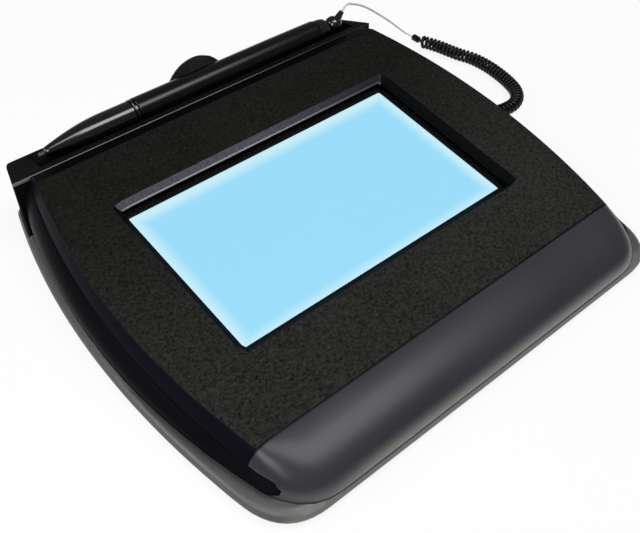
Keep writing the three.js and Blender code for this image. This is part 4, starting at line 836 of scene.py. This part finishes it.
# The pen: turned shapes on its own axis, pairs of distance along X and radius, in millimetres
pen = {
    "y": 0.07245, "z": 0.0278, "sides": 72, "sharp": 35.0, "support": 0.4, "longRun": 2.0,
    "noseTip": [(-64.8, 1.15), (-64.8, 1.45), (-64.35, 1.9)],
    "noseRun": 24, "noseRings": 24, "noseRadius": 5.25, "noseSwell": 0.95,
    "noseRear": [(-29.45, 5.25), (-29.2, 5.0), (-29.2, 3.5), (-55.1, 3.5), (-55.1, 1.15), (-64.8, 1.15)],
    "ring": [(-28.9, 3.5), (-28.9, 5.25), (-28.75, 5.4), (-27.85, 5.4), (-27.7, 5.25), (-27.7, 3.5),
             (-28.9, 3.5)],
    "barrel": [(-27.4, 3.9), (-27.4, 5.15), (-27.3, 5.35), (-27.05, 5.5), (37.7, 5.5), (59.05, 5.3),
               (59.3, 5.15), (59.4, 4.95), (59.4, 3.9), (-27.4, 3.9)],
    "capFront": [(53.4, 0.0), (53.4, 3.6), (59.7, 3.6), (59.7, 4.7), (59.8, 4.95)],
    "capRun": 4.9, "capRadius": 4.2, "capRound": 0.75, "capRings": 12,
}


def noseOutline(look):
    outline = list(look["noseTip"])
    x, radius = outline[-1]
    for k in range(1, look["noseRings"] + 1):
        share = k / look["noseRings"]
        swell = math.sin(share * math.pi / 2) ** look["noseSwell"]
        outline.append((x + look["noseRun"] * share, radius + (look["noseRadius"] - radius) * swell))
    return outline + look["noseRear"]


def capOutline(look):
    outline = list(look["capFront"])
    x = outline[-1][0]
    for k in range(1, look["capRings"] + 1):
        turn = k / look["capRings"] * math.pi / 2
        radius = look["capRadius"] + look["capRound"] * math.cos(turn)
        outline.append((x + look["capRun"] * math.sin(turn), radius))
    return outline + [(x + look["capRun"], 0.0)]


def withSupports(outline):  # rings close to both ends of a long straight run
    full = [outline[0]]
    for (x0, r0), (x1, r1) in zip(outline, outline[1:]):
        long = math.hypot(x1 - x0, r1 - r0)
        if long > pen["longRun"]:
            for share in (pen["support"] / long, 1 - pen["support"] / long):
                full.append((x0 + (x1 - x0) * share, r0 + (r1 - r0) * share))
        full.append((x1, r1))
    return full


def turned(name, node, outline):
    outline = withSupports(outline)
    mesh = bmesh.new()
    sides = pen["sides"]
    rings = []
    for x, radius in outline:
        around = range(sides) if radius else (0,)
        rings.append([mesh.verts.new((
            x * 0.001,
            pen["y"] + radius * 0.001 * math.cos(2 * math.pi * k / sides),
            pen["z"] + radius * 0.001 * math.sin(2 * math.pi * k / sides))) for k in around])
    pairs = list(zip(rings, rings[1:]))
    if outline[0] == outline[-1]:  # a closed outline ends on its first ring
        bmesh.ops.delete(mesh, geom=rings[-1], context="VERTS")
        pairs[-1] = (rings[-2], rings[0])
    for low, high in pairs:
        for k in range(sides):
            n = (k + 1) % sides
            if len(low) == 1:
                mesh.faces.new((low[0], high[k], high[n]))
            elif len(high) == 1:
                mesh.faces.new((low[k], low[n], high[0]))
            else:
                mesh.faces.new((low[k], low[n], high[n], high[k]))
    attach(closedPiece(name, node, mesh, pen["sharp"]), "pen")


turned("pen_grip_nose", "pen_nose", noseOutline(pen))
turned("pen_trim_ring", "pen_ring", pen["ring"])
turned("pen_barrel_tube", "pen_barrel", pen["barrel"])
turned("pen_cap", "pen_end_cap", capOutline(pen))
moulding("pen_swivel", "pen", 40.0)
moulding("pen_nib", "nib", 40.0)
print("pen turned")


# What repeats is grown by geometry trees: screws with cross recesses, contact wires in the socket
def nodeGroup(name, sizes):  # a geometry tree with one named input for each size
    group = bpy.data.node_groups.new(name, "GeometryNodeTree")
    group.interface.new_socket("Points", in_out="INPUT", socket_type="NodeSocketGeometry")
    for label, kind in sizes.items():
        group.interface.new_socket(label, in_out="INPUT", socket_type="NodeSocket" + kind)
    group.interface.new_socket("Geometry", in_out="OUTPUT", socket_type="NodeSocketGeometry")
    tree = Tree(group)
    entry = group.nodes.new("NodeGroupInput")
    return group, tree, {s.name: Wire(tree, s) for s in entry.outputs if s.name}


def closeGroup(tree, points, instance, rotation, finish):
    sockets = {"Points": points, "Instance": instance}
    if rotation:
        sockets["Rotation"] = rotation
    copies = tree.add("GeometryNodeInstanceOnPoints", {}, sockets)
    real = tree.add("GeometryNodeRealizeInstances", {}, {"Geometry": copies})
    dressed = tree.add("GeometryNodeSetMaterial", {}, {"Geometry": real, "Material": finishes[finish]})
    tree.add("NodeGroupOutput", {}, {"Geometry": dressed})


def grown(name, group, look):  # the mesh that the tree makes, as a plain piece
    plan = bpy.data.meshes.new(name + "_plan")
    plan.from_pydata(look["places"], [], [])
    seed = placed(name + "_plan", plan)
    modifier = seed.modifiers.new("grown", "NODES")
    modifier.node_group = group
    for item in group.interface.items_tree:
        if item.in_out == "INPUT" and item.name in look["sizes"]:
            modifier[item.identifier] = look["sizes"][item.name]
    graph = bpy.context.evaluated_depsgraph_get()
    data = bpy.data.meshes.new_from_object(seed.evaluated_get(graph))
    bpy.data.objects.remove(seed)
    data.name = name
    piece = placed(name, data)
    smoothByAngle(data, look["sharp"])
    return piece


def screwTree():
    group, tree, given = nodeGroup("screw_tree", {
        "Head Radius": "Float", "Crown": "Float", "Head Height": "Float", "Shank Radius": "Float",
        "Length": "Float", "Recess Reach": "Float", "Recess Width": "Float",
        "Recess Depth": "Float", "Tip Share": "Float", "Turned Over": "Float", "Sides": "Int",
        "Seed": "Int"})

    def ring(z, low, high, height):  # one stretch of the screw, from z upwards
        cone = tree.add("GeometryNodeMeshCone", {}, {
            "Vertices": given["Sides"], "Radius Bottom": low, "Radius Top": high, "Depth": height})
        lift = tree.add("ShaderNodeCombineXYZ", {}, {2: z})
        return tree.add("GeometryNodeTransform", {}, {"Geometry": cone, "Translation": lift})

    def bar(along, across):  # one arm of the cross
        size = tree.add("ShaderNodeCombineXYZ", {}, {
            0: along, 1: across, 2: given["Recess Depth"] * 2.0})
        return tree.add("GeometryNodeMeshCube", {}, {"Size": size})

    head, crown, shank = given["Head Radius"], given["Crown"], given["Shank Radius"]
    stretches = [
        ring(0.0, head - crown, head, crown),
        ring(crown, head, head, given["Head Height"] - crown),
        ring(given["Head Height"], shank, shank, given["Length"] - given["Head Height"] - shank),
        ring(given["Length"] - shank, shank, shank * given["Tip Share"], shank),
    ]
    body = tree.add("GeometryNodeMeshBoolean", {"operation": "UNION", "solver": "EXACT"}, {
        "Mesh 2": stretches})
    reach, width = given["Recess Reach"] * 2.0, given["Recess Width"]
    cut = tree.add("GeometryNodeMeshBoolean", {"operation": "DIFFERENCE", "solver": "EXACT"}, {
        "Mesh 1": body, "Mesh 2": [bar(reach, width), bar(width, reach)]})
    turn = tree.add("FunctionNodeRandomValue", {"data_type": "FLOAT"}, {
        2: 0.0, 3: math.pi / 2, "Seed": given["Seed"]}, output=1)
    rotation = tree.add("ShaderNodeCombineXYZ", {}, {0: given["Turned Over"], 2: turn})
    closeGroup(tree, given["Points"], cut, rotation, "steel")
    return group


caseScrews = {
    "places": [(-0.0708, -0.0580, 0.0013), (0.0708, -0.0580, 0.0013),
               (-0.0670, 0.04995, 0.0013), (0.0670, 0.04995, 0.0013)],
    "sizes": {"Head Radius": 0.0026, "Crown": 0.0006, "Head Height": 0.0018, "Shank Radius": 0.0013,
              "Length": 0.0124, "Recess Reach": 0.0014, "Recess Width": 0.0006,
              "Recess Depth": 0.0011, "Tip Share": 0.2, "Turned Over": 0.0, "Sides": 40, "Seed": 5},
    "sharp": 35.0,
}
boardScrews = {
    "places": [(-0.0441, 0.01645, 0.0095), (0.0509, 0.01645, 0.0095),
               (-0.0441, 0.06945, 0.0095), (0.0509, 0.06945, 0.0095)],
    "sizes": {"Head Radius": 0.0020, "Crown": 0.00047, "Head Height": 0.0014, "Shank Radius": 0.0010,
              "Length": 0.0060, "Recess Reach": 0.0011, "Recess Width": 0.0005,
              "Recess Depth": 0.0008, "Tip Share": 0.2, "Turned Over": math.pi, "Sides": 32, "Seed": 9},
    "sharp": 35.0,
}
screwGroup = screwTree()
for kind, look in (("case_screw", caseScrews), ("board_screw", boardScrews)):
    screwSet = grown(kind + "_set", screwGroup, look)
    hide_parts(*[kind + "_" + corner for corner in corners])
    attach(screwSet, "pad")


contacts = {
    "places": [(0.0, 0.0, 0.0)],
    "sizes": {"Count": 6, "Spacing": 0.00102, "Wire Radius": 0.00022,
              "Start": (0.00085, 0.0820, 0.0105), "Middle": (0.00085, 0.0780, 0.0106),
              "End": (0.00085, 0.0725, 0.0132)},
    "sharp": 60.0,
}


def contactTree():
    group, tree, given = nodeGroup("contact_tree", {
        "Count": "Int", "Spacing": "Float", "Wire Radius": "Float",
        "Start": "Vector", "Middle": "Vector", "End": "Vector"})
    bend = tree.add("GeometryNodeCurveQuadraticBezier", {}, {
        "Resolution": 14, "Start": given["Start"], "Middle": given["Middle"], "End": given["End"]})
    section = tree.add("GeometryNodeCurvePrimitiveCircle", {}, {
        "Resolution": 10, "Radius": given["Wire Radius"]})
    wire = tree.add("GeometryNodeCurveToMesh", {}, {
        "Curve": bend, "Profile Curve": section, "Fill Caps": True})
    offset = tree.add("ShaderNodeCombineXYZ", {}, {0: given["Spacing"]})
    row = tree.add("GeometryNodeMeshLine", {"mode": "OFFSET"}, {
        "Count": given["Count"], "Offset": offset})
    closeGroup(tree, row, wire, None, "contact")
    return group


wires = grown("socket_contacts", contactTree(), contacts)
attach(wires, "pad")
print("screws and contacts grown:", len(wires.data.polygons))


# Floor and light
studio = {
    "floorSide": 6.0, "floorDrop": 0.0003, "floorWhite": 0.80, "floorGlow": 0.86, "worldLight": 0.2,
    "lamps": [
        {"name": "top_softbox", "at": (0.28, -0.30, 1.07), "aim": (0.28, -0.30, 0.0),
         "size": (0.60, 0.46), "power": 6.1},
        {"name": "left_softbox", "at": (-0.9, 0.42, 0.66), "aim": (0.0, 0.0, 0.0),
         "size": (0.5, 0.5), "power": 4.7},
        {"name": "near_softbox", "at": (-0.38, -0.18, 0.46), "aim": (0.0, 0.0, 0.0),
         "size": (0.22, 0.22), "power": 1.25},
        {"name": "pen_softbox", "at": (-0.08, -0.12, 1.07), "aim": (-0.08, -0.12, 0.0),
         "size": (0.34, 0.34), "power": 1.5},
    ],
}


def lightStudio(look):
    world = bpy.data.worlds.new("studio_air")
    scene.world = world
    world.use_nodes = True
    tree = Tree(world.node_tree)
    world.node_tree.nodes.clear()
    air = tree.add("ShaderNodeBackground", {}, {"Color": (1, 1, 1, 1), "Strength": look["worldLight"]})
    tree.add("ShaderNodeOutputWorld", {}, {"Surface": air})
    for lamp in look["lamps"]:
        data = bpy.data.lights.new(lamp["name"], "AREA")
        data.shape = "RECTANGLE"
        data.size, data.size_y = lamp["size"]
        data.energy = lamp["power"]
        softbox = placed(lamp["name"], data)
        softbox.location = lamp["at"]
        softbox.rotation_mode = "QUATERNION"
        softbox.rotation_quaternion = (Vector(lamp["aim"]) - Vector(lamp["at"])).to_track_quat("-Z", "Y")


def layFloor(look):
    mesh = bmesh.new()
    bmesh.ops.create_grid(mesh, x_segments=1, y_segments=1, size=look["floorSide"] / 2)
    bmesh.ops.translate(mesh, verts=mesh.verts, vec=(0, 0, -look["floorDrop"]))
    data = bpy.data.meshes.new("counter")
    mesh.to_mesh(data)
    mesh.free()
    floor = placed("counter", data)
    material, tree, place = newFinish("counter_white")
    path = tree.add("ShaderNodeLightPath").socket.node
    rays = ("Is Camera Ray", "Is Glossy Ray", "Is Transmission Ray")
    seen = sum(Wire(tree, path.outputs[ray]) for ray in rays)
    dull = tree.add("ShaderNodeBsdfDiffuse", {}, {"Color": (*[look["floorWhite"]] * 3, 1)})
    white = tree.add("ShaderNodeEmission", {}, {"Color": (1, 1, 1, 1), "Strength": 1.0})
    both = tree.add("ShaderNodeMixShader", {}, {0: seen * look["floorGlow"], 1: dull, 2: white})
    close(material, tree, both)
    data.materials.append(material)


layFloor(studio)
lightStudio(studio)
print("studio lit")
